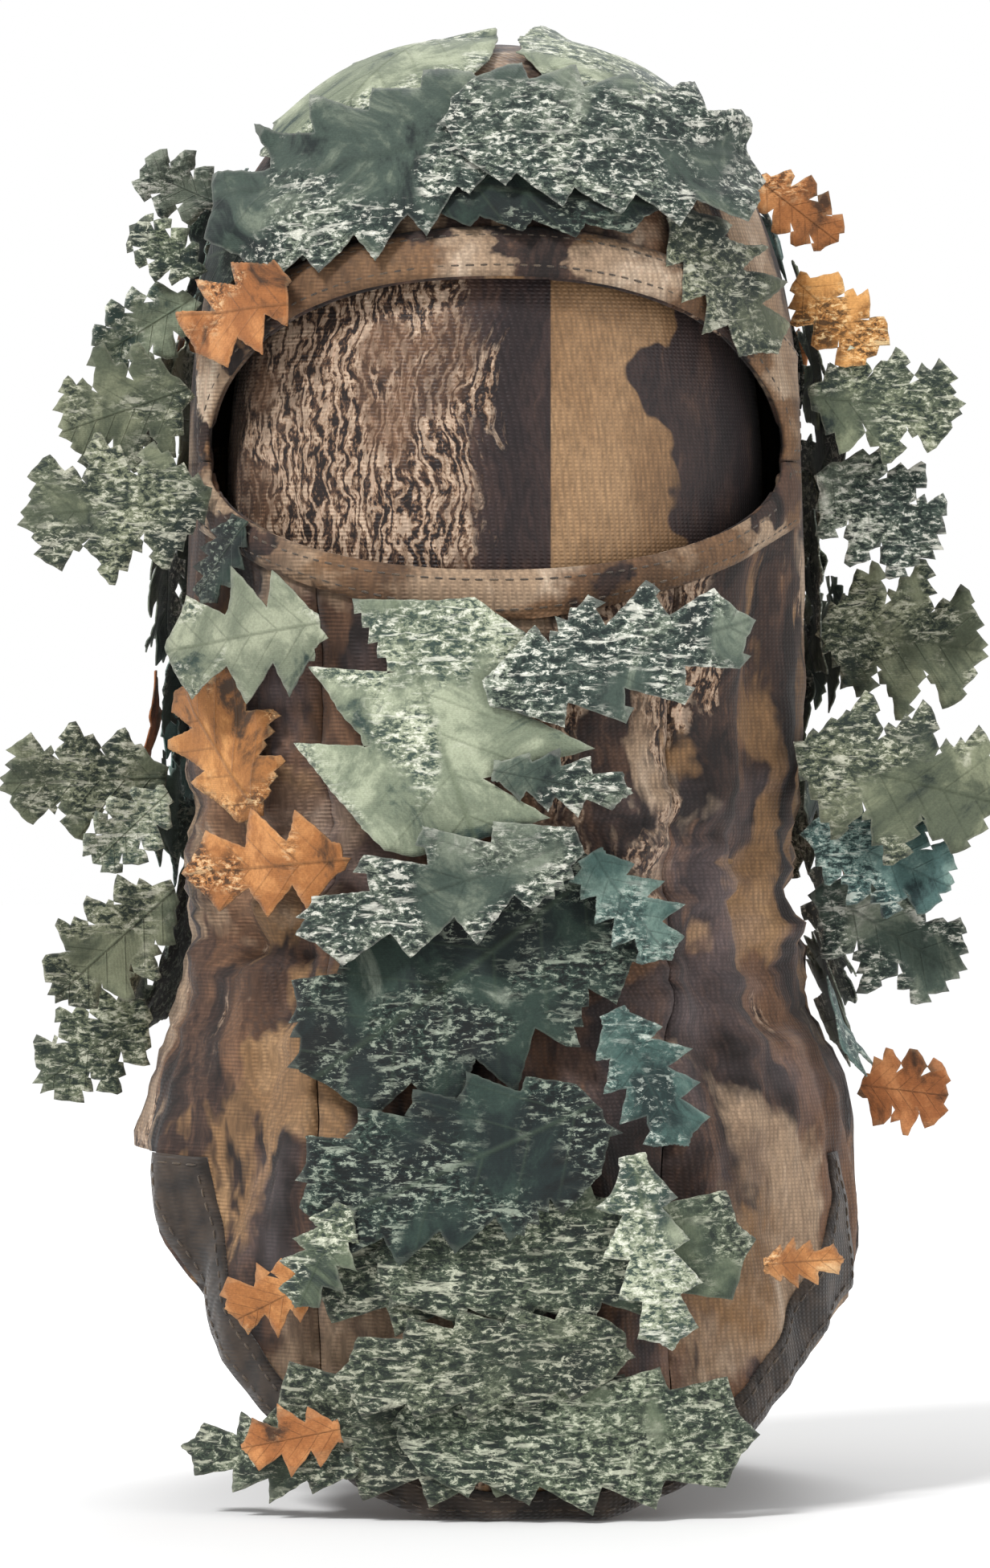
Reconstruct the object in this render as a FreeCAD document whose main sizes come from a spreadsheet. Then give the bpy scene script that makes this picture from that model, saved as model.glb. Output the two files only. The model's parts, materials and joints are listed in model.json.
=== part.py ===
"""Leafy camouflage hood: a stretch-cloth head cover with an eye opening, a liner and sewn-on leaves.

The hood stands on its hem. +Z is up, the wearer looks along -Y, +X is the viewer's right.
The origin lies on the plane of the hem, under the crown. All sizes are in millimetres.
"""

import FreeCAD
import Part

import math
import os

from FreeCAD import Placement, Rotation, Vector

# The hood's upright profile, from the hem to the crown: name, height, radius.
STATIONS = [
    ("hem", 0, 111),
    ("bib", 85, 111.5),
    ("shoulder", 108, 110),
    ("slope", 130, 105),
    ("collar", 156, 98.5),
    ("neck", 182, 93.5),
    ("jaw", 205, 94.5),
    ("eye", 312, 94.5),
    ("temple", 343, 92.5),
    ("brow", 372, 87.5),
    ("forehead", 399, 77),
    ("dome", 417, 64),
    ("dome_high", 430, 48),
    ("dome_top", 438, 31),
    ("crown", 443, 0),
]

# The liner is a smaller, smoother head cover inside the hood. Same columns.
LINER_STATIONS = [
    ("liner_hem", 192, 78),
    ("liner_cheek", 250, 81.5),
    ("liner_eye", 318, 82),
    ("liner_brow", 362, 77),
    ("liner_dome", 394, 63),
    ("liner_high", 415, 43),
    ("liner_crown", 428, 0),
]

DRIVING = {
    "hood_front_axis": -14.0,
    "hood_back_axis": 9.0,
    "liner_front_axis": -21.0,
    "liner_back_axis": 10.0,
    "cloth_thickness": 2.0,
    "liner_thickness": 1.2,
    "seam_gap": 0.4,
    "seam_across": 54.0,
    "nape_height": 200.0,
    "eye_corner_across": 88.0,
    "eye_corner_height": 314.0,
    "eye_top_height": 368.0,
    "eye_bottom_height": 281.0,
    "eye_top_fullness": 0.86,
    "eye_bottom_fullness": 0.95,
    "band_width": 15.0,
    "band_lift": 0.8,
    "band_thickness": 1.4,
    "band_reach": 92.0,
    "elastic_width": 8.0,
    "elastic_thickness": 1.0,
    "elastic_gap": 1.4,
    "bib_centre_across": 7.0,
    "bib_centre_height": 105.0,
    "bib_outline_half_width": 110.5,
    "bib_drop": 108.0,
    "binding_width": 11.0,
    "binding_back": 42.0,
    "tape_width": 7.0,
    "leaf_thickness": 0.8,
    "leaf_lift": 2.8,
    "leaf_pitch": 3.4,
    "leaf_root_gap": 1.4,
    "edge_leaf_clearance": 5.6,
}
REACH = 200.0  # longer than any half of the hood

# One row for each leaf: node, facing, across, height, heading, length, width, layer or plane, cut.
# Facing front and back leaves are placed by x and z, top ones by x and y, side ones by y and z.
# Edge leaves stand out from the hood's side in a plane of fixed y, and start at its surface.
# Heading is the way the leaf points in that view: 0 to the right (or the back, on the sides), 90 up.
LEAVES = [
    ("crown_leaves", "top", 2, -36, 184, 70, 84, 1, "sheet"),
    ("crown_leaves", "top", 6, -34, -8, 62, 74, 1, "sheet"),
    ("brow_left_leaf", "front", 4, 416, 204, 96, 50, 2, "sheet"),
    ("brow_left_leaf", "left_edge", -10, 394, 158, 26, 22, 0, "maple"),
    ("brow_right_leaf", "front", -16, 412, -10, 102, 42, 3, "sheet"),
    ("brow_dark_leaf", "front", -40, 398, -8, 88, 26, 1, "sheet"),
    ("right_temple_leaf", "front", 54, 389, -57, 52, 32, 1, "oak"),
    ("right_temple_tan_leaf", "right_edge", 0, 402, -38, 32, 20, 0, "oak"),
    ("right_ear_leaf", "right_edge", -40, 334, -5, 46, 36, 0, "maple"),
    ("right_ear_tan_leaf", "right_edge", -34, 370, -44, 34, 24, 0, "maple"),
    ("right_cheek_leaf", "right_edge", -26, 312, -36, 42, 40, 0, "maple"),
    ("right_jaw_leaf", "right_edge", 0, 264, -8, 50, 50, 0, "maple"),
    ("right_neck_leaf", "right_edge", -54, 226, -14, 62, 52, 0, "maple"),
    ("right_neck_teal_leaf", "right_edge", -44, 203, -22, 46, 36, 0, "oak"),
    ("right_shoulder_leaf", "right_edge", -30, 184, -30, 50, 40, 0, "maple"),
    ("right_shoulder_tan_leaf", "right_edge", -26, 124, -6, 27, 27, 0, "maple"),
    ("left_dark_leaves", "front", -48, 384, 196, 54, 20, 1, "sheet"),
    ("left_dark_leaves", "front", -76, 298, 245, 30, 17, 1, "oak"),
    ("left_temple_tan_leaf", "front", -62, 369, 222, 36, 30, 3, "maple"),
    ("left_ear_leaf", "left_edge", -46, 336, 198, 40, 42, 0, "maple"),
    ("left_ear_leaf", "left_edge", -40, 371, 146, 26, 18, 0, "oak"),
    ("left_ear_pale_leaf", "left_edge", -36, 364, 212, 34, 24, 0, "oak"),
    ("left_cheek_leaf", "left_edge", -64, 303, 186, 56, 46, 0, "maple"),
    ("left_mask_leaf", "front", -50, 264, 188, 44, 44, 3, "maple"),
    ("left_jaw_tan_leaf", "front", -73, 205, 108, 64, 38, 1, "oak"),
    ("left_jaw_leaf", "left_edge", -15, 218, 182, 50, 36, 0, "maple"),
    ("left_jaw_pale_leaf", "left_edge", -24, 214, 224, 32, 22, 0, "oak"),
    ("left_chin_tan_leaf", "front", -44, 196, 188, 44, 36, 2, "maple"),
    ("left_shoulder_leaf", "left_edge", -30, 184, 222, 48, 34, 0, "oak"),
    ("left_bib_leaf", "left_edge", -24, 148, 216, 40, 32, 0, "maple"),
    ("mask_centre_leaf", "front", -28, 196, 74, 80, 92, 3, "maple"),
    ("mask_right_leaves", "front", -4, 244, 16, 80, 42, 4, "oak"),
    ("mask_right_leaves", "front", -2, 222, -10, 40, 20, 4, "oak"),
    ("chin_leaf", "front", 26, 202, 202, 88, 42, 4, "oak"),
    ("neck_dark_leaf", "front", 40, 188, 211, 112, 74, 1, "lobed"),
    ("neck_teal_leaves", "front", 27, 198, -57, 42, 28, 2, "oak"),
    ("neck_teal_leaves", "front", 34, 150, -64, 46, 30, 2, "oak"),
    ("bib_dark_leaf", "front", 34, 116, 195, 94, 50, 3, "sheet"),
    ("bib_pale_leaf", "front", 40, 108, -80, 58, 28, 4, "oak"),
    ("bib_left_leaf", "front", -43, 94, 245, 34, 22, 4, "oak"),
    ("bib_wide_leaves", "front", 44, 82, 184, 100, 48, 1, "sheet"),
    ("bib_wide_leaves", "front", -36, 76, 3, 112, 46, 2, "sheet"),
    ("bib_wide_leaves", "front", 40, 52, 186, 86, 34, 3, "sheet"),
    ("bib_tan_leaves", "front", -52, 70, 198, 27, 24, 3, "maple"),
    ("bib_tan_leaves", "front", 78, 74, 2, 22, 15, 3, "oak"),
    ("hem_wide_leaves", "front", 44, 30, 181, 112, 50, 1, "sheet"),
    ("hem_wide_leaves", "front", -30, 28, -2, 104, 48, 2, "sheet"),
    ("hem_wide_leaves", "front", -40, 16, 176, 50, 27, 2, "oak"),
    ("hem_tan_leaf", "front", -44, 27, 192, 28, 22, 3, "maple"),
    ("back_crown_leaves", "back", -10, 426, 213, 70, 46, 2, "sheet"),
    ("back_crown_leaves", "back", 6, 423, -33, 78, 44, 2, "oak"),
    ("back_head_leaves", "back", -4, 396, 197, 76, 44, 1, "maple"),
    ("back_head_leaves", "back", 8, 392, -14, 66, 40, 1, "oak"),
    ("back_head_leaves", "back", -6, 386, 262, 68, 52, 3, "maple"),
    ("back_head_leaves", "back", -16, 346, 213, 68, 46, 2, "sheet"),
    ("back_head_leaves", "back", 8, 350, -8, 76, 42, 2, "oak"),
    ("nape_leaves", "back", -2, 310, 190, 82, 44, 1, "oak"),
    ("nape_leaves", "back", 10, 306, -36, 72, 48, 1, "maple"),
    ("nape_leaves", "back", 12, 322, 281, 70, 48, 3, "oak"),
    ("nape_leaves", "back", -12, 264, 221, 72, 46, 2, "maple"),
    ("nape_leaves", "back", 4, 256, -16, 84, 44, 2, "sheet"),
    ("nape_leaves", "back", -8, 222, 186, 80, 40, 1, "sheet"),
    ("nape_leaves", "back", 10, 216, -41, 70, 42, 1, "oak"),
    ("back_bib_leaves", "back", -12, 232, 256, 64, 46, 3, "maple"),
    ("back_bib_leaves", "back", -10, 168, 199, 92, 46, 2, "oak"),
    ("back_bib_leaves", "back", 4, 176, -33, 84, 48, 2, "maple"),
    ("back_bib_leaves", "back", 8, 154, 284, 66, 42, 3, "oak"),
    ("back_bib_leaves", "back", -8, 118, 213, 80, 44, 1, "sheet"),
    ("back_bib_leaves", "back", 6, 122, -21, 86, 46, 1, "oak"),
    ("back_bib_leaves", "back", -16, 76, 197, 62, 38, 2, "maple"),
    ("back_bib_leaves", "back", 14, 80, -39, 68, 40, 2, "sheet"),
    ("back_bib_leaves", "back", -8, 82, 268, 60, 40, 3, "sheet"),
    ("back_tan_leaves", "back", -38, 356, 232, 36, 30, 3, "maple"),
    ("back_tan_leaves", "back", 46, 284, -50, 36, 30, 3, "maple"),
    ("back_tan_leaves", "back", -46, 196, 238, 34, 28, 3, "oak"),
    ("back_tan_leaves", "back", 46, 128, -36, 34, 28, 3, "maple"),
    ("right_side_leaves", "right", 4, 398, -30, 48, 36, 1, "maple"),
    ("right_side_leaves", "right", 6, 374, -54, 58, 44, 2, "oak"),
    ("right_side_leaves", "right", 26, 350, -16, 54, 40, 1, "sheet"),
    ("right_side_leaves", "right", -4, 334, -30, 62, 46, 3, "maple"),
    ("right_side_leaves", "right", 28, 302, -22, 60, 48, 2, "oak"),
    ("right_side_leaves", "right", 2, 300, -64, 56, 42, 1, "maple"),
    ("right_side_leaves", "right", 4, 266, -12, 66, 46, 3, "oak"),
    ("right_side_leaves", "right", 34, 248, -38, 56, 46, 1, "maple"),
    ("right_side_leaves", "right", 0, 222, -22, 66, 44, 2, "sheet"),
    ("right_side_leaves", "right", -12, 226, 208, 36, 30, 1, "oak"),
    ("right_side_leaves", "right", 24, 192, -58, 56, 42, 3, "maple"),
    ("right_side_leaves", "right", 0, 166, -34, 60, 42, 1, "oak"),
    ("right_side_leaves", "right", -10, 152, 214, 38, 30, 1, "maple"),
    ("left_side_leaves", "left", 0, 400, -44, 52, 40, 1, "oak"),
    ("left_side_leaves", "left", 12, 380, -18, 56, 42, 2, "maple"),
    ("left_side_leaves", "left", 22, 346, -48, 54, 42, 1, "sheet"),
    ("left_side_leaves", "left", -4, 344, -26, 58, 44, 3, "oak"),
    ("left_side_leaves", "left", 30, 298, -14, 58, 46, 3, "maple"),
    ("left_side_leaves", "left", 0, 304, -50, 62, 46, 2, "oak"),
    ("left_side_leaves", "left", 6, 256, -24, 64, 46, 1, "maple"),
    ("left_side_leaves", "left", 32, 244, -42, 56, 44, 3, "oak"),
    ("left_side_leaves", "left", -2, 212, -14, 66, 42, 2, "maple"),
    ("left_side_leaves", "left", 16, 190, -60, 58, 44, 1, "sheet"),
    ("left_side_leaves", "left", -2, 162, -28, 56, 40, 3, "oak"),
    ("side_tan_leaves", "right", 54, 352, -36, 34, 28, 3, "maple"),
    ("side_tan_leaves", "right", 0, 214, -70, 34, 28, 3, "oak"),
    ("side_tan_leaves", "left", 44, 350, -34, 36, 30, 3, "oak"),
    ("side_tan_leaves", "left", 4, 250, -64, 36, 30, 3, "maple"),
]

# How each die cuts its leaf: teeth a side, how deep the notches go, how full the outline is,
# and how far a tooth leans towards the tip.
CUTS = {
    "oak": (4, 0.46, 0.60, 0.70),
    "maple": (3, 0.38, 0.46, 0.50),
    "sheet": (5, 0.66, 0.34, 0.70),
    "lobed": (5, 0.62, 0.42, 0.50),
}

doc = FreeCAD.newDocument("LeafyHood")
sheet = doc.addObject("Spreadsheet::Sheet", "Dimensions")


def fill_sheet():
    """Writes every driving dimension into the sheet, each under its own alias."""
    rows = list(DRIVING.items())
    for name, height, radius in STATIONS + LINER_STATIONS:
        rows += [(name + "_height", height), (name + "_radius", radius)]
    for number, (alias, value) in enumerate(rows, start=1):
        sheet.set(f"A{number}", alias)
        sheet.set(f"B{number}", str(value))
        sheet.setAlias(f"B{number}", alias)
    doc.recompute()


def size(alias):
    """The value of a named cell."""
    return float(sheet.get(alias))


def add(kind, name, **properties):
    """A new document object with the given properties."""
    thing = doc.addObject(kind, name)
    for key, value in properties.items():
        setattr(thing, key, value)
    return thing


def profile(stations, grow):
    """The upright profile as (radius, height) points, moved outwards by grow square to itself."""
    points = [(size(row[0] + "_radius"), size(row[0] + "_height")) for row in stations]
    moved = []
    for number, (radius, height) in enumerate(points):
        before = points[max(number - 1, 0)]
        after = points[min(number + 1, len(points) - 1)]
        along = Vector(after[0] - before[0], after[1] - before[1], 0).normalize()
        outward = Vector(along.y, -along.x, 0)
        if number == 0:
            outward = Vector(1, 0, 0)
        if number == len(points) - 1:
            outward = Vector(0, 1, 0)
        moved.append((radius + grow * outward.x, height + grow * outward.y))
    return moved


def radius_at(height):
    """The hood's radius at a height."""
    points = profile(STATIONS, 0.0)
    for (low_radius, low), (high_radius, high) in zip(points, points[1:]):
        if low <= height <= high:
            return low_radius + (high_radius - low_radius) * (height - low) / (high - low)
    raise ValueError(f"no hood at height {height}")


def wall(name, which, inner, outer, quarters=("front", "sides", "back")):
    """A shell between two offsets of a profile: half turns in front and behind, straight sides between."""
    stations = STATIONS if which == "hood" else LINER_STATIONS
    section = profile(stations, outer) + profile(stations, inner)[::-1]
    front_axis = f"Dimensions.{which}_front_axis"
    back_axis = f"Dimensions.{which}_back_axis"
    pieces = []
    for quarter, axis, turn in (("front", front_axis, -180), ("back", back_axis, 180)):
        if quarter in quarters:
            outline = add(
                "Part::Polygon",
                f"{name}_{quarter}_profile",
                Nodes=[Vector(radius, 0, height) for radius, height in section],
                Close=True,
            )
            half = add(
                "Part::Revolution",
                f"{name}_{quarter}",
                Source=outline,
                Axis=Vector(0, 0, 1),
                Angle=turn,
                Solid=True,
            )
            half.setExpression("Placement.Base.y", axis)
            pieces.append(half)
    if "sides" in quarters:
        for side, sign in (("right", 1), ("left", -1)):
            outline = add(
                "Part::Polygon",
                f"{name}_{side}_profile",
                Nodes=[Vector(sign * radius, 0, height) for radius, height in section],
                Close=True,
            )
            straight = prism(f"{name}_{side}", outline, Vector(0, 1, 0), 1.0)
            straight.setExpression("LengthFwd", f"{back_axis} - {front_axis}")
            straight.setExpression("Placement.Base.y", front_axis)
            pieces.append(straight)
    return pieces[0] if len(pieces) == 1 else fuse(name, pieces)


def cut(name, base, tool):
    return add("Part::Cut", name, Base=base, Tool=tool)


def common(name, base, tool):
    return add("Part::Common", name, Base=base, Tool=tool)


def fuse(name, shapes):
    return add("Part::MultiFuse", name, Shapes=shapes)


def group(name, shapes):
    return add("Part::Compound", name, Links=shapes)


def box(name, x, y, z, length, width, height):
    """A box with a corner and three edges, each a number or an expression of the sheet."""
    block = add("Part::Box", name)
    for key, value in (
        ("Placement.Base.x", x),
        ("Placement.Base.y", y),
        ("Placement.Base.z", z),
        ("Length", length),
        ("Width", width),
        ("Height", height),
    ):
        block.setExpression(key, str(value))
    return block


def eye_outline(name, grow):
    """The eye opening's outline, grown outwards, as a face in the plane y = 0."""
    across = size("eye_corner_across")
    corner = size("eye_corner_height")
    rise = size("eye_top_height") - corner
    drop = corner - size("eye_bottom_height")
    edges = []
    for height, fullness in ((rise, size("eye_top_fullness")), (-drop, size("eye_bottom_fullness"))):
        turns = [math.pi * number / 10 for number in range(11)]
        turns = turns if height > 0 else turns[::-1]
        points = []
        for turn in turns:
            side = -math.copysign(abs(math.cos(turn)) ** fullness, math.cos(turn))
            lift = math.sin(turn) ** fullness
            reach = math.hypot(across * side, height * lift)
            scale = (reach + grow) / reach
            points.append(Vector(across * side * scale, 0, corner + height * lift * scale))
        curve = Part.BSplineCurve()
        curve.interpolate(points)
        edges.append(curve.toShape())
    return add("Part::Feature", name, Shape=Part.Face(Part.Wire(edges)))


def prism(name, face, direction, length):
    """A face or a closed outline pushed out into a solid."""
    way = {"DirMode": "Custom", "Dir": direction, "LengthFwd": length}
    return add("Part::Extrusion", name, Base=face, Solid=True, **way)


def bib_outline(name, shrink):
    """The rounded shape of the bib as seen from the front: a half ellipse below, open above."""
    disc = add("Part::Ellipse", name + "_edge")
    disc.Placement = Placement(Vector(0, -REACH, 0), Rotation(Vector(1, 0, 0), 90))
    disc.setExpression("MajorRadius", f"Dimensions.bib_outline_half_width - {shrink}")
    disc.setExpression("MinorRadius", f"Dimensions.bib_drop - {shrink}")
    disc.setExpression("Placement.Base.x", "Dimensions.bib_centre_across")
    disc.setExpression("Placement.Base.z", "Dimensions.bib_centre_height")
    below = prism(name + "_below", disc, Vector(0, 1, 0), 2 * REACH)
    above = box(
        name + "_above",
        -REACH,
        -REACH,
        "Dimensions.bib_centre_height",
        2 * REACH,
        2 * REACH,
        2 * REACH,
    )
    return fuse(name, [below, above])


def leaf_points(length, width, style, seed):
    """The outline of one leaf, from its stem at the origin to its tip at (length, 0)."""
    teeth, notch, fullness, lean = CUTS[style]
    stem = min(4.0, 0.16 * width)
    start = 0.06

    def half_width(along):
        return max(stem, 0.5 * width * math.sin(math.pi * along**0.85) ** fullness)

    def side(sign):
        points = [(0.0, stem)]
        for number in range(teeth):
            wobble = 1.0 + 0.10 * math.sin(2.3 * number + 1.7 * seed + sign)
            low = start + (0.94 - start) * number / teeth
            high = start + (0.94 - start) * (number + 1) / teeth
            tooth = low + (high - low) * (0.5 + 0.5 * lean)
            reach = half_width(0.5 * (low + high)) * min(1.0, wobble)
            points.append((length * low, notch * half_width(max(low, 0.12))))
            points.append((length * tooth, reach))
        points.append((length * 0.95, 0.30 * half_width(0.80)))
        return [(along, sign * across) for along, across in points]

    return side(1) + [(length, 0.0)] + side(-1)[::-1]


def plane_points(row, seed, root):
    """The leaf's outline turned to its heading and moved to its root, in the plane it is cut in."""
    heading, length, width, style = row[4], row[5], row[6], row[8]
    turn = math.radians(heading)
    gap = size("leaf_root_gap")
    points = []
    for along, side in leaf_points(length - gap, width, style, seed):
        along += gap
        across = root[0] + along * math.cos(turn) - side * math.sin(turn)
        up = root[1] + along * math.sin(turn) + side * math.cos(turn)
        points.append((across, up))
    return points


# For each way a leaf can face: where its outline is drawn from, and the way it is pushed outwards.
FACINGS = {
    "front": (lambda a, h: Vector(a, -8, h), Vector(0, -1, 0)),
    "back": (lambda a, h: Vector(a, 8, h), Vector(0, 1, 0)),
    "right": (lambda a, h: Vector(8, a, h), Vector(1, 0, 0)),
    "left": (lambda a, h: Vector(-8, a, h), Vector(-1, 0, 0)),
    "top": (lambda a, h: Vector(a, h, 385), Vector(0, 0, 1)),
}


def edge_root(row):
    """Where an edge leaf leaves the hood's side: the surface at its plane and height, plus a clearance."""
    sign = 1 if row[1] == "right_edge" else -1
    plane, height = row[2], row[3]
    forward = max(0.0, size("hood_front_axis") - plane)
    reach = math.sqrt(radius_at(height) ** 2 - forward**2)
    return sign * (reach + size("edge_leaf_clearance")), height


def edge_leaf(name, row, seed):
    """A flat leaf standing out from the hood's side."""
    plane = row[2]
    points = [Vector(x, plane, z) for x, z in plane_points(row, seed, edge_root(row))]
    outline = add("Part::Polygon", name + "_outline", Nodes=points, Close=True)
    return prism(name, outline, Vector(0, 1, 0), size("leaf_thickness"))


def wrapped_leaf(name, row, seed, layers):
    """A leaf that lies round the hood in one of the leaf layers."""
    place, outwards = FACINGS[row[1]]
    points = [place(a, h) for a, h in plane_points(row, seed, (row[2], row[3]))]
    outline = add("Part::Polygon", name + "_outline", Nodes=points, Close=True)
    leaf_prism = prism(name + "_prism", outline, outwards, 0.8 * REACH)
    return common(name, layers[leaf_layer(row)], leaf_prism)


def leaf_layer(row):
    """The part of the hood's surface a leaf lies on, and how many layers up."""
    part = row[1] if row[1] in ("front", "back") else "round"
    return part, row[7]


def build_panels(shell):
    """The five printed cloth panels, which meet along two lengthwise seams and one at the nape."""
    seam = "Dimensions.seam_across"
    gap = "Dimensions.seam_gap / 2"
    width = f"2 * {seam} - 2 * {gap}"
    middle_x = f"-{seam} + {gap}"
    eye = "Dimensions.eye_corner_height"
    nape = "Dimensions.nape_height"
    front = box("front_centre_cut", middle_x, -REACH, 0, width, REACH, eye)
    nape_cut = box("nape_cut", middle_x, 0.2, 0, width, REACH, f"{nape} - {gap}")
    crown = fuse(
        "crown_cut",
        [
            box("crown_front_cut", middle_x, -REACH, eye, width, REACH + 10, REACH),
            box("crown_back_cut", middle_x, 0.2, f"{nape} + {gap}", width, REACH, 2 * REACH),
        ],
    )
    right = box("right_cut", f"{seam} + {gap}", -REACH, 0, REACH, 2 * REACH, 3 * REACH)
    left = box("left_cut", f"-{REACH} - {seam} - {gap}", -REACH, 0, REACH, 2 * REACH, 3 * REACH)
    return [
        common("front_centre_panel", shell, front),
        common("nape_panel", shell, nape_cut),
        common("crown_panel", shell, crown),
        common("right_side_panel", shell, right),
        common("left_side_panel", shell, left),
    ]


def build_bands(opening):
    """The turned bands round the eye opening, and the flat elastic held behind each of them."""
    reach = "Dimensions.band_reach"
    corner = "Dimensions.eye_corner_height"
    lift = size("band_lift")
    band_shell = wall("band_shell", "hood", lift, lift + size("band_thickness"), ("front",))
    outline = prism("band_outline", eye_outline("band_face", size("band_width")), Vector(0, -1, 0), REACH)
    ring = cut("band_ring", common("band_ring_full", band_shell, outline), opening)
    inset = -size("cloth_thickness") - size("elastic_gap")
    elastic_shell = wall("elastic_shell", "hood", inset - size("elastic_thickness"), inset, ("front",))
    elastic_face = eye_outline("elastic_face", size("elastic_width") + 3.0)
    elastic_outline = prism("elastic_outline", elastic_face, Vector(0, -1, 0), REACH)
    rim = prism("elastic_rim", eye_outline("rim_face", 3.0), Vector(0, -1, 0), REACH)
    elastic = cut("elastic_ring", common("elastic_ring_full", elastic_shell, elastic_outline), rim)
    wide = f"2 * {reach}"
    above = box("above_eye", f"1 - {reach}", -REACH, f"{corner} + 0.2", wide, REACH, REACH)
    below = box("below_eye", f"1 - {reach}", -REACH, f"{corner} - 0.2 - {REACH}", wide, REACH, REACH)
    return [
        common("brow_band", ring, above),
        common("mask_band", ring, below),
        common("brow_elastic", elastic, above),
        common("mask_elastic", elastic, below),
    ]


def build_binding(bib):
    """The folded binding round the bib's edge, one length in front and one behind."""
    shell = wall("binding_shell", "hood", 0.4, 1.6)
    inner = bib_outline("binding_inner", "Dimensions.binding_width")
    ring = cut("binding_ring", common("binding_full", shell, bib), inner)
    back = "Dimensions.binding_back"
    front_cut = box("binding_front", -REACH, -REACH, 0, 2 * REACH, f"{REACH} - {back}", REACH)
    back_cut = box("binding_behind", -REACH, back, 0, 2 * REACH, REACH, REACH)
    return [common("front_hem_binding", ring, front_cut), common("back_hem_binding", ring, back_cut)]


def build_tapes(opening, bib):
    """The tapes sewn over the two lengthwise seams on the inside, each a front and a back length."""
    inset = -size("cloth_thickness") - 0.4
    shell = wall("tape_shell", "hood", inset - 0.9, inset)
    open_shell = cut("tape_shell_open", common("tape_shell_bib", shell, bib), opening)
    wide = prism("tape_clear", eye_outline("tape_clear_face", 16.0), Vector(0, -1, 0), REACH)
    clear = cut("tape_shell_clear", open_shell, wide)
    half = "Dimensions.tape_width / 2"
    seam = "Dimensions.seam_across"
    right = box("right_tape_cut", f"{seam} - {half}", -REACH, 0, f"2 * {half}", 2 * REACH, 3 * REACH)
    left = box("left_tape_cut", f"-{seam} - {half}", -REACH, 0, f"2 * {half}", 2 * REACH, 3 * REACH)
    tapes = [common("right_tape", clear, right), common("left_tape", clear, left)]
    return [group("seam_tapes", tapes)]


def build_liner():
    """The face liner: a thin close head cover, open at the neck."""
    return [wall("face_liner", "liner", -size("liner_thickness"), 0.0)]


def build_leaves():
    """Every leaf, grouped into the node its row names."""
    quarters = {"front": ("front",), "back": ("back",), "round": ("front", "sides", "back")}
    layers = {}
    for part, number in sorted({leaf_layer(row) for row in LEAVES if not row[1].endswith("_edge")}):
        inner = size("leaf_lift") + (number - 1) * size("leaf_pitch")
        outer = inner + size("leaf_thickness")
        layers[part, number] = wall(f"leaf_layer_{part}_{number}", "hood", inner, outer, quarters[part])
    nodes = {}
    for seed, row in enumerate(LEAVES):
        members = nodes.setdefault(row[0], [])
        name = f"{row[0]}_{len(members) + 1}"
        if row[1].endswith("_edge"):
            members.append(edge_leaf(name, row, seed))
        else:
            members.append(wrapped_leaf(name, row, seed, layers))
    return [group(name, members) for name, members in nodes.items()]


def check(nodes):
    """Stops if any object failed, or a node is empty, invalid or not made of solids."""
    for thing in doc.Objects:
        if "Invalid" in thing.State or "Error" in thing.State:
            raise RuntimeError(f"{thing.Name} failed: {thing.State}")
    for node in nodes:
        shape = node.Shape
        if shape.isNull() or not shape.isValid() or not shape.Solids:
            raise RuntimeError(f"{node.Label} has no valid solid")
        if len(shape.Solids) > 1:
            print(node.Label, "has", len(shape.Solids), "solids")


def main():
    fill_sheet()
    opening = prism("eye_opening", eye_outline("eye_face", 0.0), Vector(0, -1, 0), REACH)
    bib = bib_outline("bib_shape", "0")
    trimmed = common("trimmed_form", wall("full_shell", "hood", -size("cloth_thickness"), 0.0), bib)
    shell = cut("hood_shell", trimmed, opening)
    doc.recompute()

    nodes = build_panels(shell)
    nodes += build_bands(opening)
    nodes += build_binding(bib)
    nodes += build_tapes(opening, bib)
    nodes += build_liner()
    nodes += build_leaves()
    for node in nodes:
        node.Label = node.Name
    doc.recompute()
    check(nodes)

    os.makedirs("parts", exist_ok=True)
    for node in nodes:
        Part.Compound(node.Shape.Solids).exportStep(f"parts/{node.Label}.step")
    print(len(nodes), "nodes")


main()
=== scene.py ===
import json
import math
import random

import bmesh
import bpy
import numpy as np
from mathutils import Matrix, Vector, noise
from mathutils.bvhtree import BVHTree
from mathutils.geometry import delaunay_2d_cdt


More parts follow.
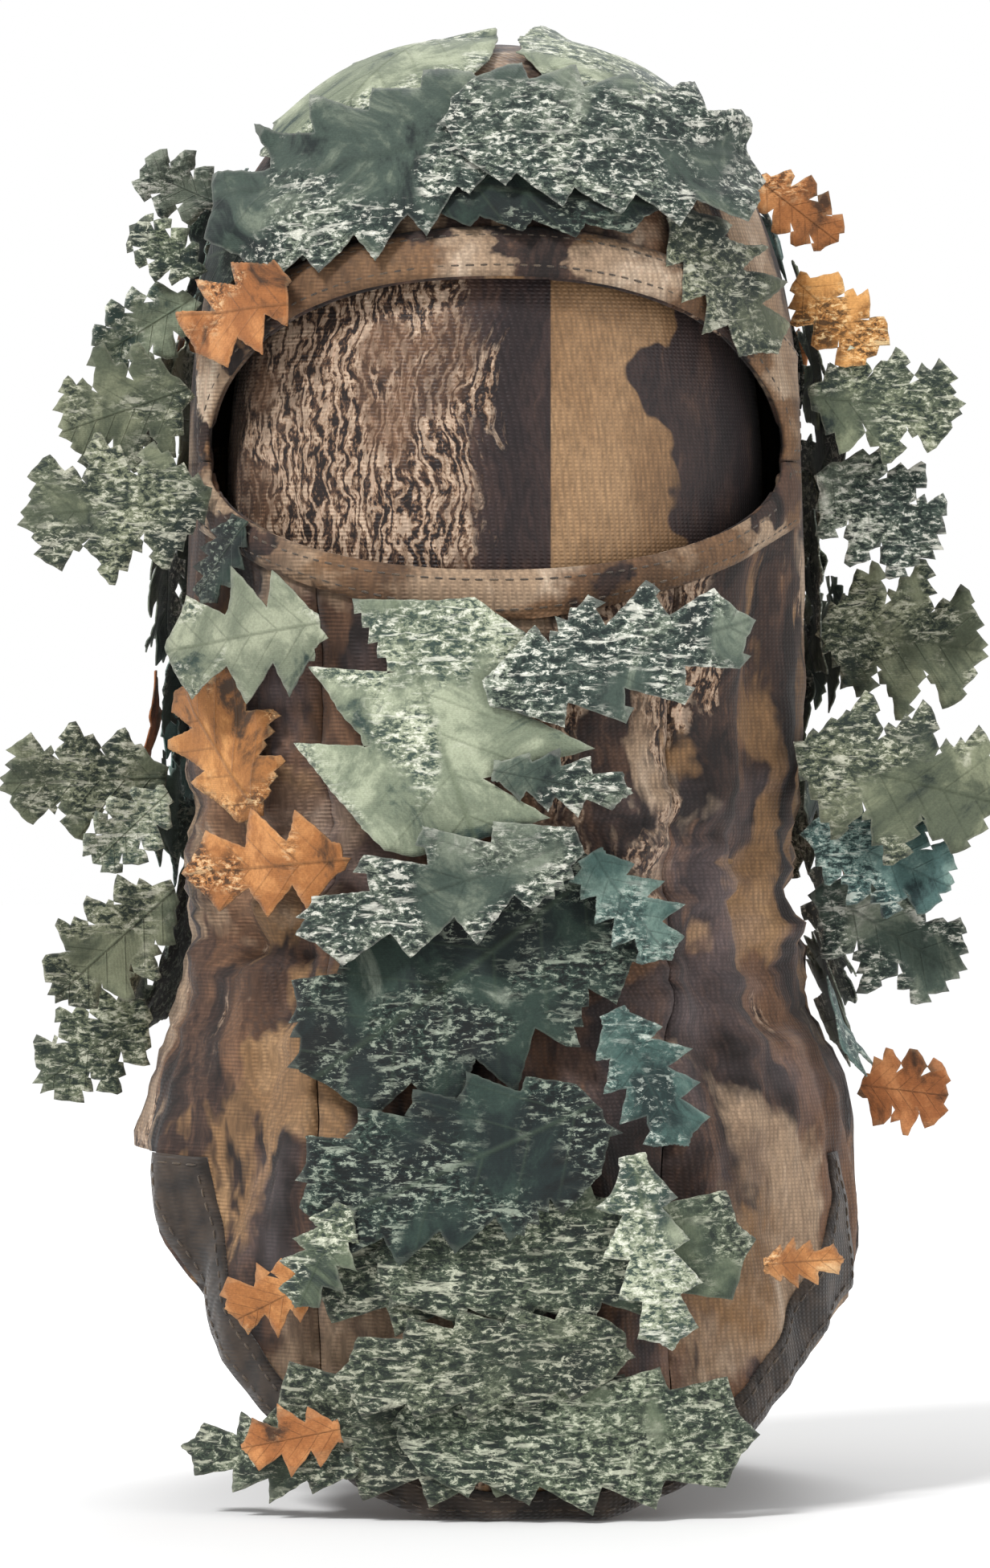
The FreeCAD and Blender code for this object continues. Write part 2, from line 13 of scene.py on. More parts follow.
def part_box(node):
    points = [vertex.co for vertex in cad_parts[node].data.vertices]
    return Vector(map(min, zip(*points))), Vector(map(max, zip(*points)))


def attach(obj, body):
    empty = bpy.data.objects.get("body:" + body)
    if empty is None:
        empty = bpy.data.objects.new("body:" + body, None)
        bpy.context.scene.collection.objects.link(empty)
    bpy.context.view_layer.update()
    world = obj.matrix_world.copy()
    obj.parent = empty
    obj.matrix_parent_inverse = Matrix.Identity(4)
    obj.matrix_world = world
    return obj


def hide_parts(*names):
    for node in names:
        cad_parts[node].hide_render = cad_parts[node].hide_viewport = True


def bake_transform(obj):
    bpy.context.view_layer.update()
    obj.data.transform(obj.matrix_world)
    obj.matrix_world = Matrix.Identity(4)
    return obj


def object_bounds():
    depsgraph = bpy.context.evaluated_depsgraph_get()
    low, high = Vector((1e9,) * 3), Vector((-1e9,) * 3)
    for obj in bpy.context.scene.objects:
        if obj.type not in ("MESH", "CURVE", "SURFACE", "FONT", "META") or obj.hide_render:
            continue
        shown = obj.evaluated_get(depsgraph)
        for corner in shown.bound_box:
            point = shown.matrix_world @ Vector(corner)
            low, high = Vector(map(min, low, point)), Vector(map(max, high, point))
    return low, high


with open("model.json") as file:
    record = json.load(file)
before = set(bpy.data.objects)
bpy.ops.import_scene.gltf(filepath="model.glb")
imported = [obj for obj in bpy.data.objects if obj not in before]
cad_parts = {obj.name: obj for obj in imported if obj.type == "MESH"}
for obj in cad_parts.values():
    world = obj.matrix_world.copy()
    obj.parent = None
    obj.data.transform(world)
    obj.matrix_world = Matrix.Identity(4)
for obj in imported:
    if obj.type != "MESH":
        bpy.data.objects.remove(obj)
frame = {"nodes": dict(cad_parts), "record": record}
cad_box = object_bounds()
MM = 0.001
BODY_OF = {n: b for b, members in frame["record"]["behaviour"]["bodies"].items() for n in members}
SLOT_OF = {row["node"]: row["material_slot"] for row in frame["record"]["subparts"]}
LEAVES = sorted(n for n in frame["nodes"] if n.endswith("_leaf") or n.endswith("_leaves"))


# ---- CAD meshes

def bmesh_of(points, faces):
    mesh = bmesh.new()
    verts = [mesh.verts.new(p) for p in points]
    for face in faces:
        mesh.faces.new([verts[i] for i in face])
    return mesh


def arrays_of(mesh):
    """A bmesh's vertices and faces. The bmesh is freed."""
    mesh.verts.index_update()
    points = np.array([v.co for v in mesh.verts])
    faces = [[v.index for v in f.verts] for f in mesh.faces]
    mesh.free()
    return points, faces


def used_only(points, triangles):
    """A mesh without the points that none of its triangles uses."""
    triangles = np.array(triangles)
    used = np.unique(triangles)
    new = np.full(len(points), -1)
    new[used] = np.arange(len(used))
    return points[used], new[triangles]


def ring_faces(rows, count, base=0):
    """The quads between rows of points, each row a closed ring of count points."""
    faces = []
    for row in range(rows - 1):
        for k in range(count):
            a, b = base + row * count + k, base + row * count + (k + 1) % count
            faces.append([a, b, b + count, a + count])
    return faces


def cad_arrays(node):
    """A node's vertices and triangles with doubled vertices merged."""
    mesh = bmesh.new()
    mesh.from_mesh(frame["nodes"][node].data)
    bmesh.ops.remove_doubles(mesh, verts=mesh.verts, dist=2e-6)
    bmesh.ops.triangulate(mesh, faces=mesh.faces)
    return arrays_of(mesh)


def tree_of(nodes):
    points, faces = [], []
    for node in nodes:
        part_points, part_faces = cad_arrays(node)
        base = len(points)
        points += [Vector(p) for p in part_points]
        faces += [[i + base for i in f] for f in part_faces]
    return BVHTree.FromPolygons(points, faces)


def solids_of(node):
    """The node's separate solids as (vertices, faces)."""
    points, faces = cad_arrays(node)
    parent = list(range(len(points)))

    def find(i):
        while parent[i] != i:
            parent[i] = parent[parent[i]]
            i = parent[i]
        return i

    for face in faces:
        for other in face[1:]:
            parent[find(face[0])] = find(other)
    groups = {}
    for face in faces:
        groups.setdefault(find(face[0]), []).append(face)
    solids = []
    for members in groups.values():
        part, triangles = used_only(points, members)
        solids.append((part, triangles.tolist()))
    solids.sort(key=lambda s: tuple(np.round(s[0].mean(0), 5)))
    return solids


# ---- the hood's smooth form

class Form:
    """The hood's outer surface, measured from the panels: an upright profile swept round two axes."""

    def __init__(self):
        points, _ = cad_arrays("crown_panel")
        top = points[:, 2].max()
        ridge = points[points[:, 2] > top - 2e-6]
        self.front, self.back = ridge[:, 1].min(), ridge[:, 1].max()
        self.middle = 0.5 * (self.front + self.back)
        behind = tree_of(["crown_panel", "nape_panel"])
        rows = []
        for height in np.arange(0.0005, top - 0.03, 0.001):
            hit = behind.ray_cast(Vector((0.001, 0.5, height)), Vector((0, -1, 0)))
            if hit[0] is not None:
                rows.append((hit[0].y - self.back, height))
        for radius in np.arange(rows[-1][0] - 0.0005, 0.0, -0.001):
            hit = behind.ray_cast(Vector((0.001, self.back + radius, 1.0)), Vector((0, 0, -1)))
            if hit[0] is not None:
                rows.append((radius, hit[0].z))
        rows.append((0.0, top))
        raw = self.resample(np.array([(rows[0][0], -0.004)] + rows), 0.0015)
        smooth = self.rounded(raw, 5.0)
        self.raw_tree = self.tree(raw)
        self.smooth_tree = self.tree(smooth)
        steps = np.gradient(smooth, axis=0)
        steps /= np.linalg.norm(steps, axis=1)[:, None]
        self.normals = np.stack([steps[:, 1], -steps[:, 0]], 1)
        self.key = smooth[:, 1] - smooth[:, 0]

    @staticmethod
    def resample(line, step):
        lengths = np.r_[0, np.cumsum(np.linalg.norm(np.diff(line, axis=0), axis=1))]
        at = np.arange(0, lengths[-1], step)
        return np.stack([np.interp(at, lengths, line[:, k]) for k in (0, 1)], 1)

    @staticmethod
    def rounded(line, sigma):
        reach = int(3 * sigma)
        weights = np.exp(-0.5 * (np.arange(-reach, reach + 1) / sigma) ** 2)
        weights /= weights.sum()
        low = 2 * line[0] - line[1:reach + 1][::-1]
        high = line[-reach - 1:-1][::-1] * np.array([-1, 1])
        padded = np.concatenate([low, line, high])
        return np.stack([np.convolve(padded[:, k], weights, "valid") for k in (0, 1)], 1)

    def tree(self, line):
        ring = []
        for centre, start in ((self.front, -90), (self.back, 90)):
            for angle in range(start, start + 181, 3):
                turn = math.radians(angle)
                ring.append((math.sin(turn), -math.cos(turn), centre))
        points = [
            Vector((max(r, 0) * sx, centre + max(r, 0) * sy, z))
            for r, z in line
            for sx, sy, centre in ring
        ]
        return BVHTree.FromPolygons(points, ring_faces(len(line), len(ring)))

    def normal(self, p):
        """The smooth outward normal at a point on the form."""
        centre = min(max(p.y, self.front), self.back)
        side = Vector((p.x, p.y - centre, 0))
        radius = side.length
        if radius < 1e-6:
            return Vector((0, 0, 1))
        side /= radius
        key = p.z - radius
        out = np.interp(key, self.key, self.normals[:, 0])
        up = np.interp(key, self.key, self.normals[:, 1])
        n = side * out
        n.z = up
        return n.normalized()

    def heights_over(self, points):
        """How far each point is outside the measured surface."""
        heights = []
        for p in points:
            p = Vector(p)
            nearest, _, _, distance = self.raw_tree.find_nearest(p)
            outside = (p - nearest).dot(self.normal(nearest)) > 0
            heights.append(distance if outside else -distance)
        return np.array(heights)


form = Form()


class Polar:
    """Unrolled about the upright axis: across is the angle round it, up is the height."""
    turn = 0.095
    facing = 1

    def flat(self, p):
        return math.atan2(self.facing * p[0], self.facing * (form.middle - p[1])) * self.turn, p[2]

    def ray(self, a, h):
        angle = a / self.turn
        direction = Vector((math.sin(angle), -math.cos(angle), 0)) * self.facing
        return Vector((0, form.middle, h)), direction


class PolarBack(Polar):
    """The same, cut open at the front, for pieces that lie behind."""
    facing = -1


class Plan:
    """Seen from above."""

    def flat(self, p):
        return p[0], p[1]

    def ray(self, a, h):
        return Vector((a, h, 0.35)), Vector((0, 0, 1))


class Saddle:
    """Over the head from front to back: across is x, up is the way along an arch with upright legs."""
    turn = 0.13
    centre = 0.31
    quarter = 0.5 * math.pi * turn

    def flat(self, p):
        if p[2] > self.centre:
            return p[0], math.atan2(p[1] - form.middle, p[2] - self.centre) * self.turn
        return p[0], math.copysign(self.quarter + self.centre - p[2], p[1] - form.middle)

    def ray(self, a, h):
        if abs(h) > self.quarter:
            height = self.centre + self.quarter - abs(h)
            return Vector((a, form.middle, height)), Vector((0, math.copysign(1, h), 0))
        angle = h / self.turn
        return Vector((a, form.middle, self.centre)), Vector((0, math.sin(angle), math.cos(angle)))


class Sheet:
    """A flat piece in a plane of fixed y."""

    def __init__(self, plane):
        self.plane = plane

    def flat(self, p):
        return p[0], p[2]


# ---- outlines and fills

def outline_of(points, faces, heights):
    """The loops round a solid's outer faces, as lists of vertex numbers."""
    middle = 0.5 * (heights.min() + heights.max())
    outer = heights > middle
    count = {}
    for face in faces:
        if all(outer[i] for i in face):
            for a, b in zip(face, face[1:] + face[:1]):
                count[a, b] = count.get((a, b), 0) + 1
    edges = {a: b for (a, b) in count if (b, a) not in count}
    loops = []
    while edges:
        start, here = edges.popitem()
        loop = [start]
        while here != start:
            loop.append(here)
            if here not in edges:
                break
            here = edges.pop(here)
        if len(loop) > 2:
            loops.append(loop)
    return loops


def inside(points, loop):
    result = np.zeros(len(points), bool)
    x, y = points[:, 0], points[:, 1]
    for (x0, y0), (x1, y1) in zip(loop, np.roll(loop, -1, axis=0)):
        if y0 == y1:
            continue
        crossing = (y0 > y) != (y1 > y)
        result ^= crossing & (x < (x1 - x0) * (y - y0) / (y1 - y0) + x0)
    return result


def edge_distance(points, loops):
    """The distance from each flat point to the nearest outline."""
    best = np.full(len(points), 1e9)
    for loop in loops:
        for a, b in zip(loop, np.roll(loop, -1, axis=0)):
            along = b - a
            size = along @ along
            if size < 1e-16:
                continue
            t = np.clip((points - a) @ along / size, 0, 1)
            best = np.minimum(best, np.linalg.norm(points - a - t[:, None] * along, axis=1))
    return best


def divide(loop, step):
    """The loop with its long edges divided."""
    out = []
    for a, b in zip(loop, np.roll(loop, -1, axis=0)):
        parts = max(1, int(round(np.linalg.norm(b - a) / step)))
        for k in range(parts):
            out.append(a + (b - a) * k / parts)
    return np.array(out)


def jagged(loop, rng, depth):
    """Small irregular die-cut teeth along an outline."""
    ahead, behind = np.roll(loop, -1, axis=0), np.roll(loop, 1, axis=0)
    along = ahead - behind
    along /= np.maximum(np.linalg.norm(along, axis=1), 1e-9)[:, None]
    out = np.stack([along[:, 1], -along[:, 0]], 1)
    area = 0.5 * np.sum(loop[:, 0] * ahead[:, 1] - ahead[:, 0] * loop[:, 1])
    if area < 0:
        out = -out
    size = np.array([depth * (1 if k % 2 else -0.6) * rng.uniform(0.3, 1.2) for k in range(len(loop))])
    return loop + out * size[:, None]


def sawn(loop, direction, rng, pitch, depth):
    """Divides an outline's long edges into sharp teeth that lean towards the leaf's tip."""
    ahead = np.roll(loop, -1, axis=0)
    area = np.sum(loop[:, 0] * ahead[:, 1] - ahead[:, 0] * loop[:, 1])
    turn = 1 if area > 0 else -1
    out = []
    for a, b in zip(loop, ahead):
        along = b - a
        length = np.linalg.norm(along)
        parts = int(round(length / pitch))
        out.append(a)
        if parts < 1 or length < 0.6 * pitch:
            continue
        outward = turn * np.array([along[1], -along[0]]) / length
        apex = 0.85 if along @ direction > 0 else 0.15
        stops = [0.0] + [(k + rng.uniform(-0.3, 0.3)) / parts for k in range(1, parts)] + [1.0]
        for low, high in zip(stops, stops[1:]):
            if low:
                out.append(a + along * low)
            share = min(1.2, (high - low) * parts)
            root = a + along * (low + (high - low) * apex)
            out.append(root + outward * depth * share * rng.uniform(0.5, 1.2))
    return np.array(out)


ROW_PITCH = 0.866    # the height of a triangle of side 1


def fill(loops, step):
    """An even triangulation inside the outlines."""
    low = np.min([l.min(0) for l in loops], axis=0)
    high = np.max([l.max(0) for l in loops], axis=0)
    rows = []
    for row, y in enumerate(np.arange(low[1], high[1], step * ROW_PITCH)):
        shift = 0.5 * step * (row % 2)
        rows += [(x, y) for x in np.arange(low[0] + shift, high[0], step)]
    grid = np.array(rows).reshape(-1, 2)
    keep = np.zeros(len(grid), bool)
    for loop in loops:
        keep ^= inside(grid, loop)
    grid = grid[keep]
    grid = grid[edge_distance(grid, loops) > 0.5 * step]
    points, edges, base = [], [], 0
    for loop in loops:
        points += list(loop)
        edges += [(base + k, base + (k + 1) % len(loop)) for k in range(len(loop))]
        base += len(loop)
    points += list(grid)
    made = delaunay_2d_cdt([Vector(p) for p in points], edges, [], 0, 1e-7)
    flat = np.array([tuple(v) for v in made[0]])
    faces = np.array(made[2])
    centres = flat[faces].mean(1)
    keep = np.zeros(len(faces), bool)
    for loop in loops:
        keep ^= inside(centres, loop)
    return used_only(flat, faces[keep])


def flat_loops(view, points, faces, heights, step):
    """A panel's or band's outlines, unrolled and divided."""
    loops = outline_of(points, faces, heights)
    return [divide(np.array([view.flat(points[i]) for i in loop]), step) for loop in loops]


# ---- pieces

def make_piece(name, points, faces, attributes=None, thickness=None):
    """An object from vertices and faces, thickened inwards, that keeps its rest place for the materials."""
    mesh = bpy.data.meshes.new(name)
    mesh.from_pydata([tuple(p) for p in points], [], [tuple(int(i) for i in f) for f in faces])
    mesh.shade_smooth()
    piece = bpy.data.objects.new(name, mesh)
    bpy.context.scene.collection.objects.link(piece)
    store(mesh, "rest", np.asarray(points, float), "FLOAT_VECTOR")
    for key, values in (attributes or {}).items():
        kind = "FLOAT_VECTOR" if np.ndim(values) == 2 else "FLOAT"
        store(mesh, key, np.asarray(values, float), kind)
    if thickness:
        solid = piece.modifiers.new("thickness", "SOLIDIFY")
        solid.thickness = thickness
        solid.offset = -1.0
    return piece


def store(mesh, name, values, kind):
    attribute = mesh.attributes.new(name, kind, "POINT")
    field = "vector" if kind == "FLOAT_VECTOR" else "value"
    attribute.data.foreach_set(field, values.astype(np.float32).ravel())


def place(flat, view, lift=0.0):
    """Puts flat points on the form. Returns points and outward normals."""
    tree = form.smooth_tree
    points, normals = [], []
    for a, h in flat:
        origin, direction = view.ray(a, h)
        hit = tree.ray_cast(origin, direction)[0]
        if hit is None:
            hit = tree.find_nearest(origin + direction * 0.1)[0]
        n = form.normal(hit)
        points.append(hit + n * lift)
        normals.append(n)
    return np.array(points), np.array(normals)


def orient(points, faces, normals):
    """Turns the faces so that they look outwards."""
    a, b, c = points[faces[:, 0]], points[faces[:, 1]], points[faces[:, 2]]
    facing = np.einsum("ij,ij->i", np.cross(b - a, c - a), normals[faces].mean(1))
    flipped = faces.copy()
    wrong = facing < 0
    flipped[wrong] = flipped[wrong][:, ::-1]
    return flipped


def bumpy(points, scale, seed, octaves=3):
    """Smooth noise in -1..1 at each point."""
    shift = Vector((seed, 2 * seed, -seed))
    return np.array([noise.fractal(Vector(p) * scale + shift, 0.9, 2.0, octaves) for p in points])


def finish_piece(piece, material, body, node=None):
    piece.data.materials.append(material)
    if body:
        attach(piece, body)
    if node:
        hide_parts(node)
    return piece


# ---- materials

class Graph:
    """A small helper for node materials."""

    def __init__(self, name):
        self.material = bpy.data.materials.new(name)
        self.material.use_nodes = True
        self.tree = self.material.node_tree
        self.tree.nodes.clear()

    def add(self, kind, settings=None, **inputs):
        node = self.tree.nodes.new("ShaderNode" + kind)
        for key, value in (settings or {}).items():
            setattr(node, key, value)
        for key, value in inputs.items():
            name = key.replace("_", " ")
            by_number = key[0] == "i" and key[1:].isdigit()
            self.feed(node.inputs[int(key[1:])] if by_number else node.inputs[name], value)
        return node

    def feed(self, socket, value):
        """Links an output into an input, or sets the input's own value."""
        if isinstance(value, bpy.types.NodeSocket):
            self.tree.links.new(value, socket)
        elif socket.type == "RGBA" and isinstance(value, tuple):
            socket.default_value = (*value, 1)
        else:
            socket.default_value = value

    def attribute(self, name):
        return self.add("Attribute", {"attribute_name": name}).outputs["Vector"]

    def scaled(self, vector, x, y, z):
        return self.add("VectorMath", {"operation": "MULTIPLY"}, i0=vector, i1=(x, y, z)).outputs[0]

    def shifted(self, vector, offset):
        return self.add("VectorMath", {"operation": "ADD"}, i0=vector, i1=offset).outputs[0]

    def noise(self, vector, scale, detail=4.0, roughness=0.55, distortion=0.0):
        node = self.add("TexNoise", Vector=vector, Scale=scale, Detail=detail,
                        Roughness=roughness, Distortion=distortion)
        return node.outputs["Fac"]

    def ramp(self, value, stops, smooth=True):
        node = self.add("ValToRGB", Fac=value)
        ramp = node.color_ramp
        ramp.interpolation = "EASE" if smooth else "LINEAR"
        while len(ramp.elements) < len(stops):
            ramp.elements.new(0.5)
        for element, (at, colour) in zip(ramp.elements, stops):
            element.position = at
            if not isinstance(colour, tuple):
                colour = (colour, colour, colour)
            element.color = (*colour, 1)
        return node.outputs["Color"]

    def mix(self, factor, a, b, mode="MIX"):
        return self.add("Mix", {"data_type": "RGBA", "blend_type": mode}, i0=factor, i6=a, i7=b).outputs[2]

    def math(self, operation, a, b=0.0, clamp=False):
        return self.add("Math", {"operation": operation, "use_clamp": clamp}, i0=a, i1=b).outputs[0]

    def product(self, a, b):
        return self.math("MULTIPLY", a, b)

    def total(self, a, b):
        return self.math("ADD", a, b)

    def bump(self, height, distance, strength=1.0, normal=None):
        node = self.add("Bump", Height=height, Distance=distance, Strength=strength)
        if normal is not None:
            self.feed(node.inputs["Normal"], normal)
        return node.outputs[0]

    def surface(self, colour, roughness, normal, sheen=0.25):
        shader = self.add("BsdfPrincipled", Base_Color=colour, Roughness=roughness, Normal=normal,
                          Sheen_Weight=sheen, Sheen_Roughness=0.6, Specular_IOR_Level=0.25)
        self.add("OutputMaterial", Surface=shader.outputs[0])
        return self.material


def srgb(red, green, blue):
    """A colour as the eye reads it, 0 to 255, in the linear values that nodes take."""
    shares = (red / 255, green / 255, blue / 255)
    return tuple(c / 12.92 if c <= 0.04 else ((c + 0.055) / 1.055) ** 2.4 for c in shares)


def weave(graph, rest, pitch):
    """A fine knit: two crossed waves."""
    waves = []
    for direction, vector in (("Z", rest), ("DIAGONAL", graph.scaled(rest, 1, 1, 0.15))):
        wave = graph.add("TexWave", {"bands_direction": direction}, Vector=vector,
                         Scale=0.314 / pitch, Distortion=0.6, Detail=1.0)
        waves.append(wave.outputs["Fac"])
    return graph.product(*waves)


DYE = (0.84, 0.83, 0.82)    # darkens the whole bark print a little


def bark_material(name, shift=(0.0, 0.0, 0.0), kind="panel"):
    """Stretch cloth printed with tree bark: swirling grain, dark trunks, brown, tan and pale patches."""
    graph = Graph(name)
    own = graph.attribute("rest")
    rest = graph.shifted(own, shift)
    wander = graph.add("TexNoise", Vector=rest, Scale=13.0, Detail=4.0, Roughness=0.6).outputs["Color"]
    warped = graph.shifted(rest, graph.scaled(wander, 0.035, 0.035, 0.02))
    streaks = graph.noise(graph.scaled(warped, 60, 60, 15), 1.0, 9.0, 0.68, 0.6)
    soft_streaks = graph.noise(graph.scaled(warped, 36, 36, 13), 1.0, 8.0, 0.62, 0.4)
    speckle = graph.noise(rest, 520, 4.0, 0.7)
    dark_bark = graph.ramp(streaks, [
        (0.30, srgb(16, 13, 13)), (0.44, srgb(34, 26, 24)), (0.52, srgb(56, 42, 37)),
        (0.62, srgb(86, 64, 52)), (0.78, srgb(126, 100, 84)),
    ])
    brown = graph.ramp(soft_streaks, [
        (0.32, srgb(48, 33, 27)), (0.45, srgb(80, 57, 43)),
        (0.56, srgb(112, 82, 61)), (0.72, srgb(146, 114, 88)),
    ])
    centre = graph.shifted(warped, (0.03, 0.0, -0.29))
    rings = graph.add("TexWave", {"wave_type": "RINGS", "rings_direction": "Y"},
                      Vector=graph.scaled(centre, 1.0, 1.0, 0.45), Scale=86.0, Distortion=16.0,
                      Detail=5.0, Detail_Scale=1.7, Detail_Roughness=0.66)
    broken = graph.noise(graph.scaled(warped, 150, 150, 60), 1.0, 5.0, 0.7)
    lines = graph.total(rings.outputs["Fac"], graph.product(graph.math("SUBTRACT", speckle, 0.5), 1.3))
    lines = graph.total(lines, graph.product(graph.math("SUBTRACT", broken, 0.46), 1.9))
    swirl = graph.ramp(lines, [
        (0.10, srgb(34, 24, 21)), (0.28, srgb(70, 50, 39)), (0.48, srgb(108, 82, 63)),
        (0.70, srgb(146, 119, 96)), (1.0, srgb(184, 160, 138)),
    ])
    tan_grain = graph.noise(graph.scaled(warped, 30, 30, 18), 1.0, 3.0)
    smooth_tan = graph.ramp(tan_grain, [
        (0.3, srgb(98, 74, 52)), (0.5, srgb(132, 101, 70)), (0.7, srgb(158, 126, 92)),
    ])
    pale = graph.ramp(soft_streaks, [
        (0.3, srgb(112, 90, 72)), (0.5, srgb(158, 134, 110)), (0.7, srgb(198, 178, 156)),
    ])

    def area(scale_x, scale_z, offset, level, soft=0.012):
        """Where one kind of bark is printed over the others."""
        spot = graph.scaled(graph.shifted(warped, offset), scale_x, scale_x, scale_z)
        spread = graph.noise(spot, 1.0, 5.0, 0.55)
        return graph.ramp(spread, [(level - soft, 0.0), (level + soft, 1.0)], False)

    if kind == "panel":
        colour = graph.mix(area(14, 7, (1.1, 0.3, 2.0), 0.50), brown, dark_bark)
        colour = graph.mix(area(15, 8, (3.7, 4.1, 0.6), 0.55), colour, swirl)
        colour = graph.mix(area(13, 10, (5.1, 2.3, 0.0), 0.56), colour, smooth_tan)
        colour = graph.mix(area(14, 12, (2.4, 6.3, 1.0), 0.56, 0.03), colour, pale)
        colour = graph.mix(area(20, 5, (9.4, 1.3, 3.0), 0.59), colour, dark_bark)
        lilac = area(11, 12, (7.3, 2.2, 5.4), 0.60, 0.05)
        colour = graph.mix(graph.product(lilac, 0.3), colour, srgb(140, 126, 128))
    elif kind == "band":
        ground = graph.mix(0.5, smooth_tan, brown)
        colour = graph.mix(area(16, 30, (2.2, 4.4, 1.0), 0.54, 0.03), ground, pale)
        colour = graph.mix(area(22, 30, (6.1, 1.4, 3.0), 0.57), colour, dark_bark)
    else:
        # swirling bark at the viewer's left, a dark trunk, then smooth tan with a dark branch
        x, _, z = graph.add("SeparateXYZ", Vector=own).outputs
        ragged_x = graph.total(x, graph.product(graph.math("SUBTRACT", streaks, 0.5), 0.05))
        ragged_x = graph.total(graph.product(ragged_x, 20.0), 0.5)
        even_x = graph.total(graph.product(x, 20.0), 0.5)
        beyond_bark = graph.ramp(ragged_x, [(0.34, 0.0), (0.44, 1.0)], False)
        beyond_trunk = graph.ramp(even_x, [(0.829, 0.0), (0.835, 1.0)], False)
        trunk = graph.mix(0.35, dark_bark, srgb(46, 34, 38))
        blotches = graph.noise(graph.scaled(warped, 26, 26, 20), 1.0, 4.0, 0.6)
        patch = graph.ramp(blotches, [(0.54, 0.0), (0.60, 0.7)], False)
        colour = graph.mix(beyond_bark, graph.mix(patch, swirl, brown), trunk)
        colour = graph.mix(beyond_trunk, colour, smooth_tan)
        branch = graph.product(graph.math("ABSOLUTE", graph.math("SUBTRACT", z, 0.338)), -3.2)
        branch = graph.total(graph.product(x, 9.0), branch)
        branch = graph.total(branch, graph.product(graph.noise(rest, 38, 2.0), 0.55))
        colour = graph.mix(graph.ramp(branch, [(0.665, 0.0), (0.68, 1.0)], False), colour, trunk)
    fibres = graph.noise(graph.scaled(rest, 900, 900, 220), 1.0, 3.0)
    colour = graph.mix(0.45, colour, graph.ramp(fibres, [(0.25, 0.3), (0.75, 0.9)]), "OVERLAY")
    knit = weave(graph, rest, 0.0012)
    colour = graph.mix(0.3, colour, graph.ramp(knit, [(0.0, 0.25), (0.6, 0.72)]), "OVERLAY")
    normal = graph.bump(knit, 0.0003, 0.6)
    normal = graph.bump(graph.noise(rest, 90, 3.0), 0.0012, 0.35, normal)
    roughness = 0.48 if kind == "liner" else graph.ramp(fibres, [(0.2, 0.62), (0.8, 0.82)])
    colour = graph.mix(1.0, colour, DYE, "MULTIPLY")
    return graph.surface(colour, roughness, normal, 0.06)


